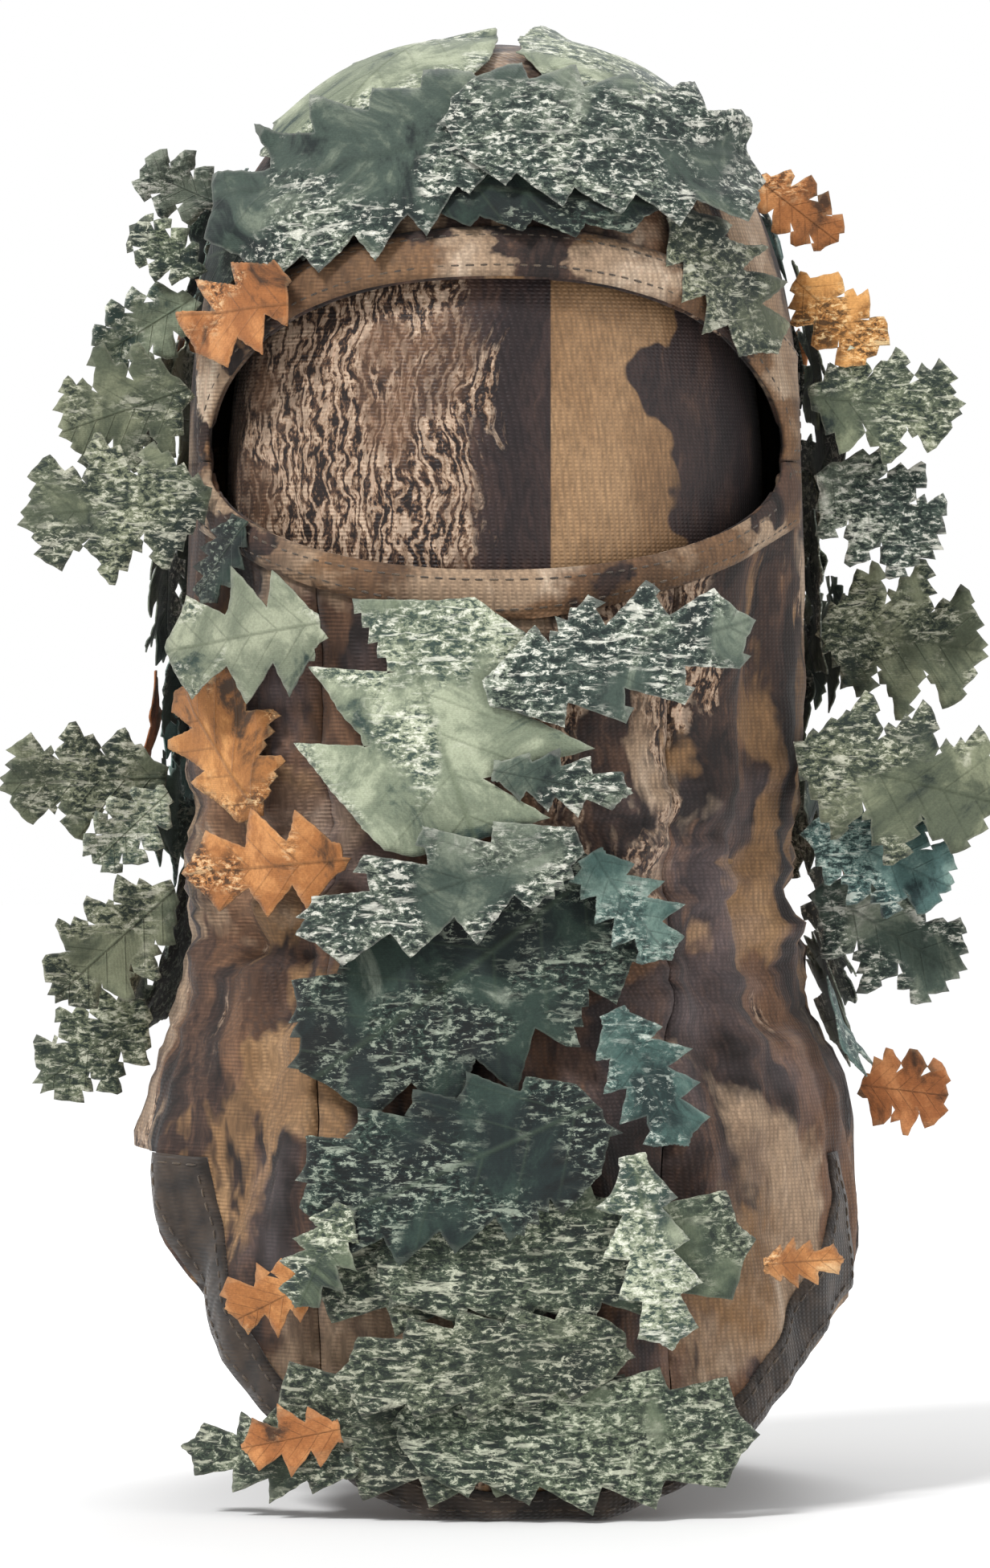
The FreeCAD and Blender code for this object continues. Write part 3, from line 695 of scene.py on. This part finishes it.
def leaf_material(name, dark, mid, pale, fleck, edge, flecked=0.0):
    """Printed cut cloth: mottled ground, flecks, veins, a worn edge. A higher flecked prints more flecks."""
    graph = Graph(name)
    rest = graph.attribute("rest")
    leaf = graph.attribute("leaf")
    along, across, seed = graph.add("SeparateXYZ", Vector=leaf).outputs
    rim = graph.add("Attribute", {"attribute_name": "rim"}).outputs["Fac"]
    offset = graph.add("CombineXYZ", X=graph.product(seed, 31.0), Y=graph.product(seed, 17.0), Z=seed)
    place_at = graph.shifted(rest, offset.outputs[0])
    ground = graph.noise(place_at, 34, 7.0, 0.66, 0.8)
    colour = graph.ramp(ground, [(0.34, dark), (0.46, mid), (0.60, pale), (0.80, fleck)])
    lichen = graph.noise(graph.shifted(place_at, (4.0, 9.0, 2.0)), 26, 3.0, 0.5, 0.4)
    cluster = graph.ramp(lichen, [(0.43 - flecked, 0.0), (0.53 - flecked, 1.0)])
    blots = graph.scaled(graph.shifted(place_at, (8.0, 3.0, 5.0)), 1, 1, 1.8)
    blots = graph.noise(blots, 330, 6.0, 0.74, 0.4)
    dark_blots = graph.product(graph.ramp(blots, [(0.45, 0.95), (0.50, 0.0)], False), cluster)
    colour = graph.mix(dark_blots, colour, dark)
    pale_blots = graph.product(graph.ramp(blots, [(0.55, 0.0), (0.59, 0.72)], False), cluster)
    colour = graph.mix(pale_blots, colour, fleck)
    streak = graph.noise(graph.scaled(place_at, 90, 90, 420), 1.0, 5.0, 0.68, 0.5)
    streaks = graph.product(graph.ramp(streak, [(0.56, 0.0), (0.62, 0.6)], False), cluster)
    colour = graph.mix(streaks, colour, fleck)
    # veins: a midrib and side veins that lean towards the tip, in shares of the leaf's length
    away = graph.math("ABSOLUTE", across)
    midrib = graph.ramp(away, [(0.0, 1.0), (0.016, 0.0)])
    lean = graph.math("SUBTRACT", along, graph.product(away, 0.85))
    saw = graph.math("SUBTRACT", graph.math("FRACT", graph.product(lean, 6.2)), 0.5)
    side = graph.ramp(graph.math("ABSOLUTE", saw), [(0.0, 1.0), (0.07, 0.0)])
    side = graph.product(side, graph.ramp(away, [(0.0, 1.0), (0.36, 0.2)]))
    veins = graph.math("MAXIMUM", midrib, graph.product(side, 0.7), True)
    colour = graph.mix(graph.product(veins, 0.45), colour, edge)
    colour = graph.mix(graph.ramp(rim, [(0.0, 0.10), (0.07, 0.0)]), colour, fleck)
    fibres = graph.noise(graph.scaled(rest, 1400, 1400, 1400), 1.0, 2.0)
    colour = graph.mix(0.25, colour, graph.ramp(fibres, [(0.3, 0.35), (0.7, 0.8)]), "OVERLAY")
    hue = graph.total(graph.product(seed, 0.03), 0.485)
    value = graph.total(graph.product(seed, 0.36), 0.82)
    tint = graph.add("HueSaturation", Hue=hue, Saturation=1.0, Value=value, Color=colour).outputs[0]
    normal = graph.bump(weave(graph, rest, 0.0006), 0.00012, 0.5)
    normal = graph.bump(veins, 0.0006, 0.6, normal)
    return graph.surface(tint, graph.ramp(ground, [(0.3, 0.72), (0.7, 0.9)]), normal, 0.08)


def plain_cloth(name, colour, dark, pitch, roughness=0.8):
    """Plain woven cloth, tape or thread."""
    graph = Graph(name)
    rest = graph.attribute("rest")
    tone = graph.ramp(graph.noise(rest, 160, 5.0), [(0.3, dark), (0.7, colour)])
    knit = weave(graph, rest, pitch)
    tone = graph.mix(0.3, tone, graph.ramp(knit, [(0.0, 0.3), (1.0, 0.8)]), "OVERLAY")
    return graph.surface(tone, roughness, graph.bump(knit, 0.0003, 0.7))


# leaf palettes: dark, middle, pale, fleck and vein
SAGE = [srgb(31, 42, 38), srgb(82, 90, 72), srgb(124, 130, 105), srgb(206, 206, 186), srgb(60, 70, 52)]
PALE = [srgb(46, 62, 56), srgb(114, 122, 102), srgb(156, 162, 138), srgb(226, 226, 210), srgb(84, 94, 72)]
MOTTLED = [srgb(20, 31, 30), srgb(60, 73, 65), srgb(110, 119, 104), srgb(228, 227, 214), srgb(48, 60, 52)]
TEAL = [srgb(26, 44, 44), srgb(66, 92, 88), srgb(108, 132, 124), srgb(202, 211, 200), srgb(50, 73, 69)]
DARK = [srgb(7, 13, 13), srgb(19, 30, 29), srgb(40, 55, 48), srgb(150, 158, 142), srgb(58, 71, 56)]
TAN = [srgb(64, 42, 24), srgb(152, 97, 52), srgb(190, 132, 80), srgb(230, 196, 150), srgb(98, 64, 31)]
MOSS = [srgb(24, 32, 28), srgb(57, 67, 54), srgb(90, 98, 79), srgb(188, 189, 168), srgb(48, 58, 44)]
LEAF_LOOKS = {
    slot: leaf_material(slot + "_look", *colours, flecked=flecked)
    for slot, colours, flecked in (
        ("leaf_sage", SAGE, 0.0), ("leaf_pale", PALE, 0.05), ("leaf_mottled", MOTTLED, 0.0),
        ("leaf_teal", TEAL, -0.03), ("leaf_dark", DARK, 0.0), ("leaf_tan", TAN, -0.08),
    )
}
SMOOTH_SAGE = leaf_material("leaf_sage_smooth_look", *PALE, flecked=-0.11)
FINE_SAGE = leaf_material("leaf_sage_flecked_look", *MOSS, flecked=0.10)
OWN_LOOKS = {
    "mask_centre_leaf": SMOOTH_SAGE, "left_mask_leaf": SMOOTH_SAGE,
    "hem_wide_leaves": FINE_SAGE, "bib_wide_leaves": FINE_SAGE,
}
VARIED = ["leaf_sage", "leaf_mottled", "leaf_pale", "leaf_dark", "leaf_sage", "leaf_teal", "leaf_mottled"]
BARK = bark_material("bark_cloth_look")
BAND = bark_material("band_cloth_look", (0.31, 0.12, 0.07), "band")
LINER = bark_material("liner_cloth_look", (0.9, 0.4, 0.2), "liner")
BINDING = plain_cloth("binding_cloth_look", srgb(62, 50, 40), srgb(30, 24, 20), 0.0012)
TAPE = plain_cloth("tape_look", srgb(40, 32, 27), srgb(22, 18, 15), 0.0010)
ELASTIC = plain_cloth("elastic_look", srgb(38, 34, 32), srgb(18, 16, 15), 0.0009, 0.7)
THREAD = plain_cloth("thread_look", srgb(92, 76, 58), srgb(60, 48, 36), 0.0004, 0.6)


# ---- cloth panels

PANEL_THICKNESS = 1.4 * MM
BAND_THICKNESS = 1.3 * MM
BINDING_THICKNESS = 1.2 * MM
ELASTIC_THICKNESS = 1.0 * MM
LINER_THICKNESS = 1.0 * MM
TAPE_THICKNESS = 0.8 * MM
LEAF_THICKNESS = 0.5 * MM
# the spacing of each kind's mesh points
PANEL_STEP, BAND_STEP, BINDING_STEP, TAPE_STEP, ELASTIC_STEP, LEAF_STEP = (
    size * MM for size in (3.2, 1.8, 2.4, 2.6, 3.0, 2.3)
)


def groove(points, start, end, width, depth):
    """A soft valley along a line from start to end, at each point."""
    start, end = np.array(start), np.array(end)
    along = end - start
    t = np.clip((points - start) @ along / (along @ along), 0, 1)
    away = np.linalg.norm(points - start - t[:, None] * along, axis=1)
    fade = np.sin(np.pi * np.clip(0.15 + 0.75 * t, 0, 1))
    return -depth * np.exp(-0.5 * (away / width) ** 2) * fade


# the heights where the creases beside the neck start and end
NECK_CREASES = ((0.206, 0.196), (0.190, 0.178), (0.172, 0.166), (0.156, 0.146), (0.136, 0.120))
# how far the cloth may fall in below and above the neck, where the liner is, and stand out
DEEPEST_LOW, DEEPEST_HIGH, PROUDEST = 20 * MM, 9.5 * MM, 1.6 * MM


def folds(points):
    """How the cloth stands off its smooth form: wrinkles, drapes and hollows, in metres."""
    x, y, z = points.T
    broad = bumpy(points, 16, 1.0, 2) * 1.2 * MM
    neck = np.exp(-0.5 * ((z - 0.180) / 0.030) ** 2)
    rings = bumpy(points * np.array([0.35, 0.35, 1.9]), 42, 4.0, 3)
    low = np.clip((0.20 - z) / 0.12, 0, 1)
    drape = bumpy(points * np.array([1.7, 1.7, 0.35]), 24, 7.0, 2)
    crumple = bumpy(points * np.array([1.0, 1.0, 0.6]), 75, 9.0, 2) * np.clip((0.30 - z) / 0.06, 0, 1)
    lift = broad + neck * (7.0 * rings - 2.5) * MM + low * (8.0 * drape - 3.0) * MM + 1.6 * MM * crumple
    for side in (-1, 1):
        jaw = side * 0.080 + 0.004    # the hood sits a little off its middle
        lift += groove(points, (jaw, -0.060, 0.275), (side * 0.088, -0.060, 0.150), 0.009, 12 * MM)
        lift += groove(points, (side * 0.055, -0.096, 0.262), (side * 0.074, -0.086, 0.120), 0.006, 7 * MM)
        lift += groove(points, (side * 0.070, -0.090, 0.120), (side * 0.094, -0.060, 0.040), 0.009, 8 * MM)
        for number, (high, low_end) in enumerate(NECK_CREASES):
            reach = 0.050 + 0.004 * number
            start, end = (side * reach, -0.094, high), (side * 0.094, -0.048, low_end)
            lift += groove(points, start, end, 0.0035, 4.0 * MM)
    deepest = np.interp(z, [0.180, 0.200], [-DEEPEST_LOW, -DEEPEST_HIGH])
    return np.clip(lift, deepest, PROUDEST)


def panel_mesh(node, view):
    """A panel's outer face, refilled evenly, laid in soft folds and turned in at its edges."""
    points, faces = solids_of(node)[0]
    loops = flat_loops(view, points, faces, form.heights_over(points), PANEL_STEP)
    flat, triangles = fill(loops, PANEL_STEP)
    placed, normals = place(flat, view)
    away = edge_distance(flat, loops)
    lift = folds(placed) - 0.9 * MM * np.exp(-away / (1.6 * MM))
    placed = placed + normals * lift[:, None]
    return placed, orient(placed, triangles, normals)


def split_piece(points, faces, planes, keep):
    """Cuts a mesh at planes and returns its two parts: where keep is true, and the rest."""
    mesh = bmesh_of(points, faces)
    for place_at, normal in planes:
        everything = mesh.verts[:] + mesh.edges[:] + mesh.faces[:]
        bmesh.ops.bisect_plane(mesh, geom=everything, plane_co=place_at, plane_no=normal, dist=1e-7)
    bmesh.ops.triangulate(mesh, faces=mesh.faces)
    kept = [keep(f.calc_center_median()) for f in mesh.faces]
    points, faces = arrays_of(mesh)
    return [used_only(points, [f for f, k in zip(faces, kept) if k == side]) for side in (True, False)]


def halves(points, faces):
    """The right and left half of a mesh, each with its side's word and sign."""
    parts = split_piece(points, faces, [((0, 0, 0), (1, 0, 0))], lambda c: c.x > 0)
    return zip(parts, ("right", "left"), (1, -1))


band_low, band_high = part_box("mask_band")


def follow_mask(piece):
    """Bakes the piece's place into its mesh."""
    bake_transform(piece)


def add_cloth(name, mesh, thickness, look, body, node):
    """A cloth piece that stands for a CAD node. One without a body is left unattached."""
    return finish_piece(make_piece(name, *mesh, thickness=thickness), look, body, node)


def build_panels():
    """The hood's five panels. The cloth below the eye opening is cut out, since it moves with the mask."""
    node = "front_centre_panel"
    for part, word, side in halves(*panel_mesh(node, Polar())):
        follow_mask(add_cloth(f"front_{word}_cloth", part, PANEL_THICKNESS, BARK, None, node))
    corner = band_high.z
    planes = [((0, form.front, 0), (0, 1, 0)), ((0, 0, corner), (0, 0, 1))]
    for word, side in (("right", 1), ("left", -1)):
        node = word + "_side_panel"
        cheek, rest = split_piece(
            *panel_mesh(node, Polar()), planes, lambda c: c.y < form.front and c.z < corner
        )
        follow_mask(add_cloth(word + "_cheek_cloth", cheek, PANEL_THICKNESS, BARK, None, node))
        add_cloth(word + "_side_cloth", rest, PANEL_THICKNESS, BARK, "hood", node)
    for word, view in (("crown", Saddle()), ("nape", PolarBack())):
        node = word + "_panel"
        add_cloth(word + "_cloth", panel_mesh(node, view), PANEL_THICKNESS, BARK, "hood", node)


FLAT_CROWN = 0.7 * MM
BAND_CROWN = 2.0 * MM


def strip_mesh(points, faces, view, step, crown=FLAT_CROWN):
    """A band's outer face, its middle raised by crown. Returns the mesh, its outlines and its height."""
    heights = form.heights_over(points)
    lift = float(np.median(heights[heights > heights.mean()]))
    loops = flat_loops(view, points, faces, heights, step)
    flat, triangles = fill(loops, step)
    placed, normals = place(flat, view)
    away = edge_distance(flat, loops)
    puff = crown * (1 - np.exp(-away / (2.8 * MM))) - FLAT_CROWN
    ripple = bumpy(placed, 60, 3.0, 2) * 0.35 * MM
    placed = placed + normals * (lift + folds(placed) + puff + ripple)[:, None]
    return (placed, orient(placed, triangles, normals)), loops, lift


STITCH_SHARE = 0.68    # how much of the pitch the thread shows on top


def stitches(name, loops, view, lift, inset, pitch, body, side=None):
    """A row of thread stitches a set distance inside an outline, on one side only if asked."""
    verts, faces = [], []
    for loop in loops:
        loop = divide(loop, 0.8 * MM)
        ahead, behind = np.roll(loop, -3, axis=0), np.roll(loop, 3, axis=0)
        along = ahead - behind
        along /= np.maximum(np.linalg.norm(along, axis=1), 1e-9)[:, None]
        inward = np.stack([-along[:, 1], along[:, 0]], 1)
        if not inside((loop + inward * 0.3 * MM)[:1], loop)[0]:
            inward = -inward
        path = loop + inward * inset
        good = (edge_distance(path, loops) > 0.93 * inset) & inside(path, loop)
        start = None
        for point, fits in zip(path, good):
            if not fits:
                start = None
            elif start is None:
                start = point
            elif np.linalg.norm(point - start) >= pitch:
                ends, normals = place([start, start + (point - start) * STITCH_SHARE], view)
                ends = ends + normals * (lift + folds(ends))[:, None]
                add_stitch(verts, faces, ends, normals)
                start = point
    if not verts:
        return None
    if side is not None:
        keep = [f for f in faces if side * verts[f[0]][0] > 0]
        used = sorted({i for f in keep for i in f})
        new = {i: k for k, i in enumerate(used)}
        verts, faces = [verts[i] for i in used], [[new[i] for i in f] for f in keep]
    return finish_piece(make_piece(name, np.array(verts), faces), THREAD, body)


# the bead of a stitch: how far along each ring is, and its radius in millimetres
STITCH_RINGS = ((0.0, 0.10), (0.15, 0.30), (0.5, 0.36), (0.85, 0.30), (1.0, 0.10))
STITCH_SIDES = 6


def add_stitch(verts, faces, ends, normals):
    """One stitch: a small six-sided bead drawn out along its length, its ends sunk into the cloth."""
    along = ends[1] - ends[0]
    length = np.linalg.norm(along)
    if length < 1e-5:
        return
    along = along / length
    up = normals[0]
    side = np.cross(along, up)
    base = len(verts)
    for t, radius in STITCH_RINGS:
        centre = ends[0] + along * length * t - up * (0.25 * MM if t in (0.0, 1.0) else 0.0)
        for k in range(STITCH_SIDES):
            angle = 2 * math.pi * k / STITCH_SIDES
            verts.append(centre + (side * math.cos(angle) + up * math.sin(angle)) * radius * MM)
    faces += ring_faces(len(STITCH_RINGS), STITCH_SIDES, base)
    faces.append(list(range(base + STITCH_SIDES - 1, base - 1, -1)))
    faces.append(list(range(len(verts) - STITCH_SIDES, len(verts))))


def build_bands():
    """The turned bands round the eye opening, their elastics, and the bindings of the bib."""
    view = Polar()
    mesh, loops, lift = strip_mesh(*solids_of("brow_band")[0], view, BAND_STEP, BAND_CROWN)
    add_cloth("brow_band_cloth", mesh, BAND_THICKNESS, BAND, "hood", "brow_band")
    stitches("brow_topstitch", loops, view, lift + 0.5 * MM, 3.0 * MM, 3.4 * MM, "hood")
    mesh, loops, lift = strip_mesh(*solids_of("mask_band")[0], view, BAND_STEP, BAND_CROWN)
    for half, word, side in halves(*mesh):
        name = f"mask_band_{word}_cloth"
        follow_mask(add_cloth(name, half, BAND_THICKNESS, BAND, None, "mask_band"))
        name = f"mask_topstitch_{word}"
        row = stitches(name, loops, view, lift + 0.5 * MM, 3.0 * MM, 3.4 * MM, None, side)
        follow_mask(row)
    mesh, _, _ = strip_mesh(*solids_of("mask_elastic")[0], view, ELASTIC_STEP)
    for half, word, side in halves(*mesh):
        name = f"mask_elastic_{word}_web"
        follow_mask(add_cloth(name, half, ELASTIC_THICKNESS, ELASTIC, None, "mask_elastic"))
    mesh, _, _ = strip_mesh(*solids_of("brow_elastic")[0], view, ELASTIC_STEP)
    add_cloth("brow_elastic_web", mesh, ELASTIC_THICKNESS, ELASTIC, "hood", "brow_elastic")
    for node, view in (("front_hem_binding", Polar()), ("back_hem_binding", PolarBack())):
        mesh, loops, lift = strip_mesh(*solids_of(node)[0], view, BINDING_STEP)
        add_cloth(node + "_cloth", mesh, BINDING_THICKNESS, BINDING, "hood", node)
        stitches(node + "_topstitch", loops, view, lift, 2.6 * MM, 3.6 * MM, "hood")


def build_tapes():
    """The tapes over the two lengthwise seams, inside the hood."""
    for number, solid in enumerate(solids_of("seam_tapes"), start=1):
        mesh, _, _ = strip_mesh(*solid, Saddle(), TAPE_STEP)
        add_cloth(f"seam_tape_{number}", mesh, TAPE_THICKNESS, TAPE, "hood", "seam_tapes")


LINER_CENTRE = 0.33    # the height of the middle of the liner's dome
LINER_SIDES = 120
LINER_SMOOTHING = 14


def build_liner():
    """The face liner: a smooth close head cover seen through the eye opening."""
    low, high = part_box("face_liner")
    tree = tree_of(["face_liner"])
    centre = 0.5 * (low + high)
    rings = [(height, 0.0) for height in np.arange(low.z + 0.0002, LINER_CENTRE, 0.004)]
    rings += [(LINER_CENTRE, math.radians(angle)) for angle in range(0, 91, 2)]
    points = []
    for height, rise in rings:
        origin = Vector((centre.x, centre.y, height))
        for k in range(LINER_SIDES):
            turn = 2 * math.pi * k / LINER_SIDES
            level = Vector((math.sin(turn), -math.cos(turn), 0)) * math.cos(rise)
            direction = level + Vector((0, 0, math.sin(rise)))
            hit = tree.ray_cast(origin + direction * 0.3, -direction)[0]
            points.append(hit if hit else origin + direction * 0.05)
    mesh = bmesh_of(points, ring_faces(len(rings), LINER_SIDES))
    bmesh.ops.remove_doubles(mesh, verts=mesh.verts, dist=1e-5)
    for _ in range(LINER_SMOOTHING):
        loose = [v for v in mesh.verts if not v.is_boundary]
        bmesh.ops.smooth_vert(mesh, verts=loose, factor=0.5,
                              use_axis_x=True, use_axis_y=True, use_axis_z=True)
    bmesh.ops.recalc_face_normals(mesh, faces=mesh.faces)
    add_cloth("face_liner_cloth", arrays_of(mesh), LINER_THICKNESS, LINER, "hood", "face_liner")


# ---- leaves

def leaf_view(node, points):
    """The flat view that suits a leaf, and the plane of a standing one."""
    spread = points.max(0) - points.min(0)
    if spread[1] < 1.2 * MM:
        return Sheet(float(points[:, 1].mean()))
    if node == "crown_leaves":
        return Plan()
    return PolarBack() if points[:, 1].mean() > form.middle + 0.03 else Polar()


def leaf_axes(outline, view):
    """Stem, direction and length of a leaf, from its flat outline."""
    centre = outline.mean(0)
    spread = np.linalg.svd(outline - centre, full_matrices=False)[2][0]
    along = (outline - centre) @ spread
    ends = [centre + spread * along.min(), centre + spread * along.max()]
    steep = abs(spread[1]) > 0.8 and not isinstance(view, Plan)
    key = (lambda p: -p[1]) if steep else (lambda p: abs(p[0]))
    if key(ends[1]) < key(ends[0]):
        ends.reverse()
    direction = ends[1] - ends[0]
    length = np.linalg.norm(direction)
    return ends[0], direction / length, length


leaf_tree = tree_of(LEAVES)
SIDE_ANGLE = math.radians(50)    # how far round the hood a leaf of the front or back goes unchanged
TOOTH_PITCH, TOOTH_DEPTH, FRAY = 6.5 * MM, 2.7 * MM, 0.18 * MM
MOST_ROOM = 12 * MM
CORNER_PAIRS = [(k, other) for k in range(3) for other in range(3)]
# leaves that keep flatter than the rest, so that they clear their neighbours when they swing
FLATTER = {
    "left_ear_leaf": 0.3, "right_temple_tan_leaf": 0.25, "left_dark_leaves": 0.2,
    "left_bib_leaf": 0.4, "right_ear_leaf": 0.6,
}


def drawn_in(view, point):
    """A flat point of a leaf cut in the front or back plane, whose far end would stretch round the side."""
    across, up = view.flat(point)
    limit = SIDE_ANGLE * view.turn
    if abs(across) <= limit:
        return across, up
    reach = math.hypot(point[0], point[1] - form.middle)
    excess = (abs(point[0]) - reach * math.sin(SIDE_ANGLE)) / math.cos(SIDE_ANGLE)
    return math.copysign(limit + excess * view.turn / reach, across), up


def relax(values, faces, rounds):
    """Smooths a value over a mesh."""
    count = np.zeros(len(values))
    for k in range(3):
        np.add.at(count, faces[:, k], 2)
    for _ in range(rounds):
        total = np.zeros(len(values))
        for k, other in CORNER_PAIRS:
            if other != k:
                np.add.at(total, faces[:, k], values[faces[:, other]])
        values = 0.5 * values + 0.5 * total / np.maximum(count, 1)
    return values


def headroom(placed, normals, faces):
    """How far each point and its neighbours may rise before they meet a leaf above."""
    room = []
    for p, n in zip(placed, normals):
        hit = leaf_tree.ray_cast(Vector(p + n * 0.5 * MM), Vector(n), MOST_ROOM)
        room.append(hit[3] if hit[0] is not None else MOST_ROOM)
    room = np.array(room)
    for _ in range(3):
        low = room.copy()
        for k, other in CORNER_PAIRS:
            np.minimum.at(low, faces[:, k], room[faces[:, other]])
        room = low
    return room


def build_leaf(node, number, points, faces, rng):
    """One cut cloth leaf with sawn edges, bent, cupped, twisted and creased along its midrib."""
    view = leaf_view(node, points)
    standing = isinstance(view, Sheet)
    heights = -points[:, 1] if standing else form.heights_over(points)
    cut_flat = isinstance(view, Polar) and "side" not in node
    raw = [
        np.array([drawn_in(view, points[i]) if cut_flat else view.flat(points[i]) for i in loop])
        for loop in outline_of(points, faces, heights)
    ]
    raw.sort(key=len, reverse=True)
    stem, direction, length = leaf_axes(raw[0], view)
    toothed = sawn(raw[0], direction, rng, TOOTH_PITCH, TOOTH_DEPTH)
    loops = [jagged(divide(toothed, LEAF_STEP), rng, FRAY)]
    flat, triangles = fill(loops, LEAF_STEP)
    u = (flat - stem) @ direction / length
    v = (flat - stem) @ np.array([-direction[1], direction[0]]) / length
    away = edge_distance(flat, loops)
    bend = rng.uniform(0.4, 1.0)
    cup = rng.uniform(-0.5, 1.0)
    twist = rng.uniform(-1, 1)
    seed = rng.uniform(0, 50)
    out = np.clip(u, 0, 1)
    side = v / max(abs(v).max(), 1e-3)
    crinkle = np.array([
        noise.fractal(Vector((a * 55 + seed, b * 55, seed)), 0.9, 2.0, 2) for a, b in flat
    ])
    ruffle = np.array([noise.noise(Vector((a * 70 + seed, b * 70, 2 * seed))) for a, b in flat])
    ruffle = ruffle * np.exp(-away / (5 * MM)) * np.clip(3 * out, 0, 1)
    crease = -0.5 * np.exp(-(v / 0.03) ** 2)
    if standing:
        lift = 13 * bend * out ** 1.6 + 5.0 * cup * side ** 2 * out + 8.0 * twist * side * out
        lift = (lift + 1.8 * crinkle + 3.0 * ruffle + crease) * MM * FLATTER.get(node, 1.0)
        placed = np.stack([flat[:, 0], view.plane - lift, flat[:, 1]], 1)
        normals = np.tile([0.0, -1.0, 0.0], (len(flat), 1))
    else:
        placed, normals = place(flat, view, float(np.median(heights[heights > heights.mean()])))
        ruffled = 9.0 if isinstance(view, Plan) else 4.0
        lift = 8.0 * bend * out ** 2.0 + 3.2 * cup * side ** 2 + 1.5 * twist * side * out
        lift = (lift + 1.1 * crinkle + ruffled * ruffle + crease) * MM * FLATTER.get(node, 1.0)
        room = headroom(placed, normals, triangles)
        lift = np.minimum(lift, np.maximum(room - 0.5 * MM, 0.2 * MM))
        lift = relax(np.clip(lift, -0.9 * MM, 9 * MM), triangles, 2)
        placed = placed + normals * lift[:, None]
    leaf = np.stack([u, v, np.full(len(u), rng.random())], 1)
    rim = away / MM / 10    # in centimetres
    piece = make_piece(f"{node}_{number}_cloth", placed, orient(placed, triangles, normals),
                       {"leaf": leaf, "rim": rim}, LEAF_THICKNESS)
    slot = SLOT_OF[node]
    if slot == "leaf_sage" and node.endswith("leaves"):
        slot = VARIED[rng.randrange(len(VARIED))]
    return finish_piece(piece, OWN_LOOKS.get(node, LEAF_LOOKS[slot]), BODY_OF[node], node)


def build_leaves():
    for node in LEAVES:
        for number, (points, faces) in enumerate(solids_of(node), start=1):
            build_leaf(node, number, points, faces, random.Random(f"{node} {number}"))


# ---- stage

CAMERA_DISTANCE = 3.0
CAMERA_RISE = math.radians(1.0)
CAMERA_AIM = 0.484      # the height it looks at and the height it takes in, as shares of the hood's
CAMERA_FRAME = 1.078
SENSOR = 36


def add_lamp(name, kind, energy, place_at, aim):
    light = bpy.data.lights.new(name, kind)
    light.energy = energy
    lamp = bpy.data.objects.new(name, light)
    lamp.location = place_at
    lamp.rotation_euler = (Vector(aim) - Vector(place_at)).to_track_quat("-Z", "Y").to_euler()
    bpy.context.scene.collection.objects.link(lamp)
    return light


def build_studio():
    """A pale floor, a white surround that is softer on the hood than to the camera, and three lamps."""
    bpy.ops.mesh.primitive_plane_add(size=12, location=(0, 0, -0.0005))
    floor = bpy.context.object
    floor.name = "floor"
    paint = Graph("floor_look")
    plain = paint.add("NewGeometry").outputs["Normal"]
    floor.data.materials.append(paint.surface((0.86, 0.86, 0.86), 0.8, plain, 0.0))
    world = bpy.data.worlds.new("studio")
    bpy.context.scene.world = world
    world.use_nodes = True
    sky = world.node_tree
    backdrop = sky.nodes["Background"]
    backdrop.inputs[0].default_value = (1, 1, 1, 1)
    seen = sky.nodes.new("ShaderNodeLightPath").outputs["Is Camera Ray"]
    strength = sky.nodes.new("ShaderNodeMapRange")
    sky.links.new(seen, strength.inputs["Value"])
    strength.inputs["To Min"].default_value = 0.6
    strength.inputs["To Max"].default_value = 1.0
    sky.links.new(strength.outputs["Result"], backdrop.inputs[1])
    middle = (0, 0, 0.23)
    add_lamp("fill", "AREA", 9, (1.4, -1.2, 0.5), middle).size = 1.2
    add_lamp("back", "AREA", 18, (0.2, 1.4, 1.5), middle).size = 1.0
    add_lamp("key", "SUN", 2.6, (-0.75, -0.9, 1.25), (0, 0, 0)).angle = math.radians(14)


def build_camera():
    low, high = cad_box
    height = high.z - low.z
    camera_data = bpy.data.cameras.new("camera")
    camera_data.sensor_width = SENSOR
    camera_data.lens = SENSOR * CAMERA_DISTANCE / (CAMERA_FRAME * height)
    camera_data.clip_start = 0.01
    camera = bpy.data.objects.new("camera", camera_data)
    bpy.context.scene.collection.objects.link(camera)
    target = Vector((0.0, form.front, low.z + CAMERA_AIM * height))
    towards = Vector((0, -math.cos(CAMERA_RISE), math.sin(CAMERA_RISE)))
    camera.location = target + towards * CAMERA_DISTANCE
    camera.rotation_euler = (-towards).to_track_quat("-Z", "Y").to_euler()
    bpy.context.scene.camera = camera
    bpy.context.scene.view_settings.view_transform = "Standard"


build_panels()
build_bands()
build_liner()
build_leaves()
build_tapes()
build_studio()
build_camera()
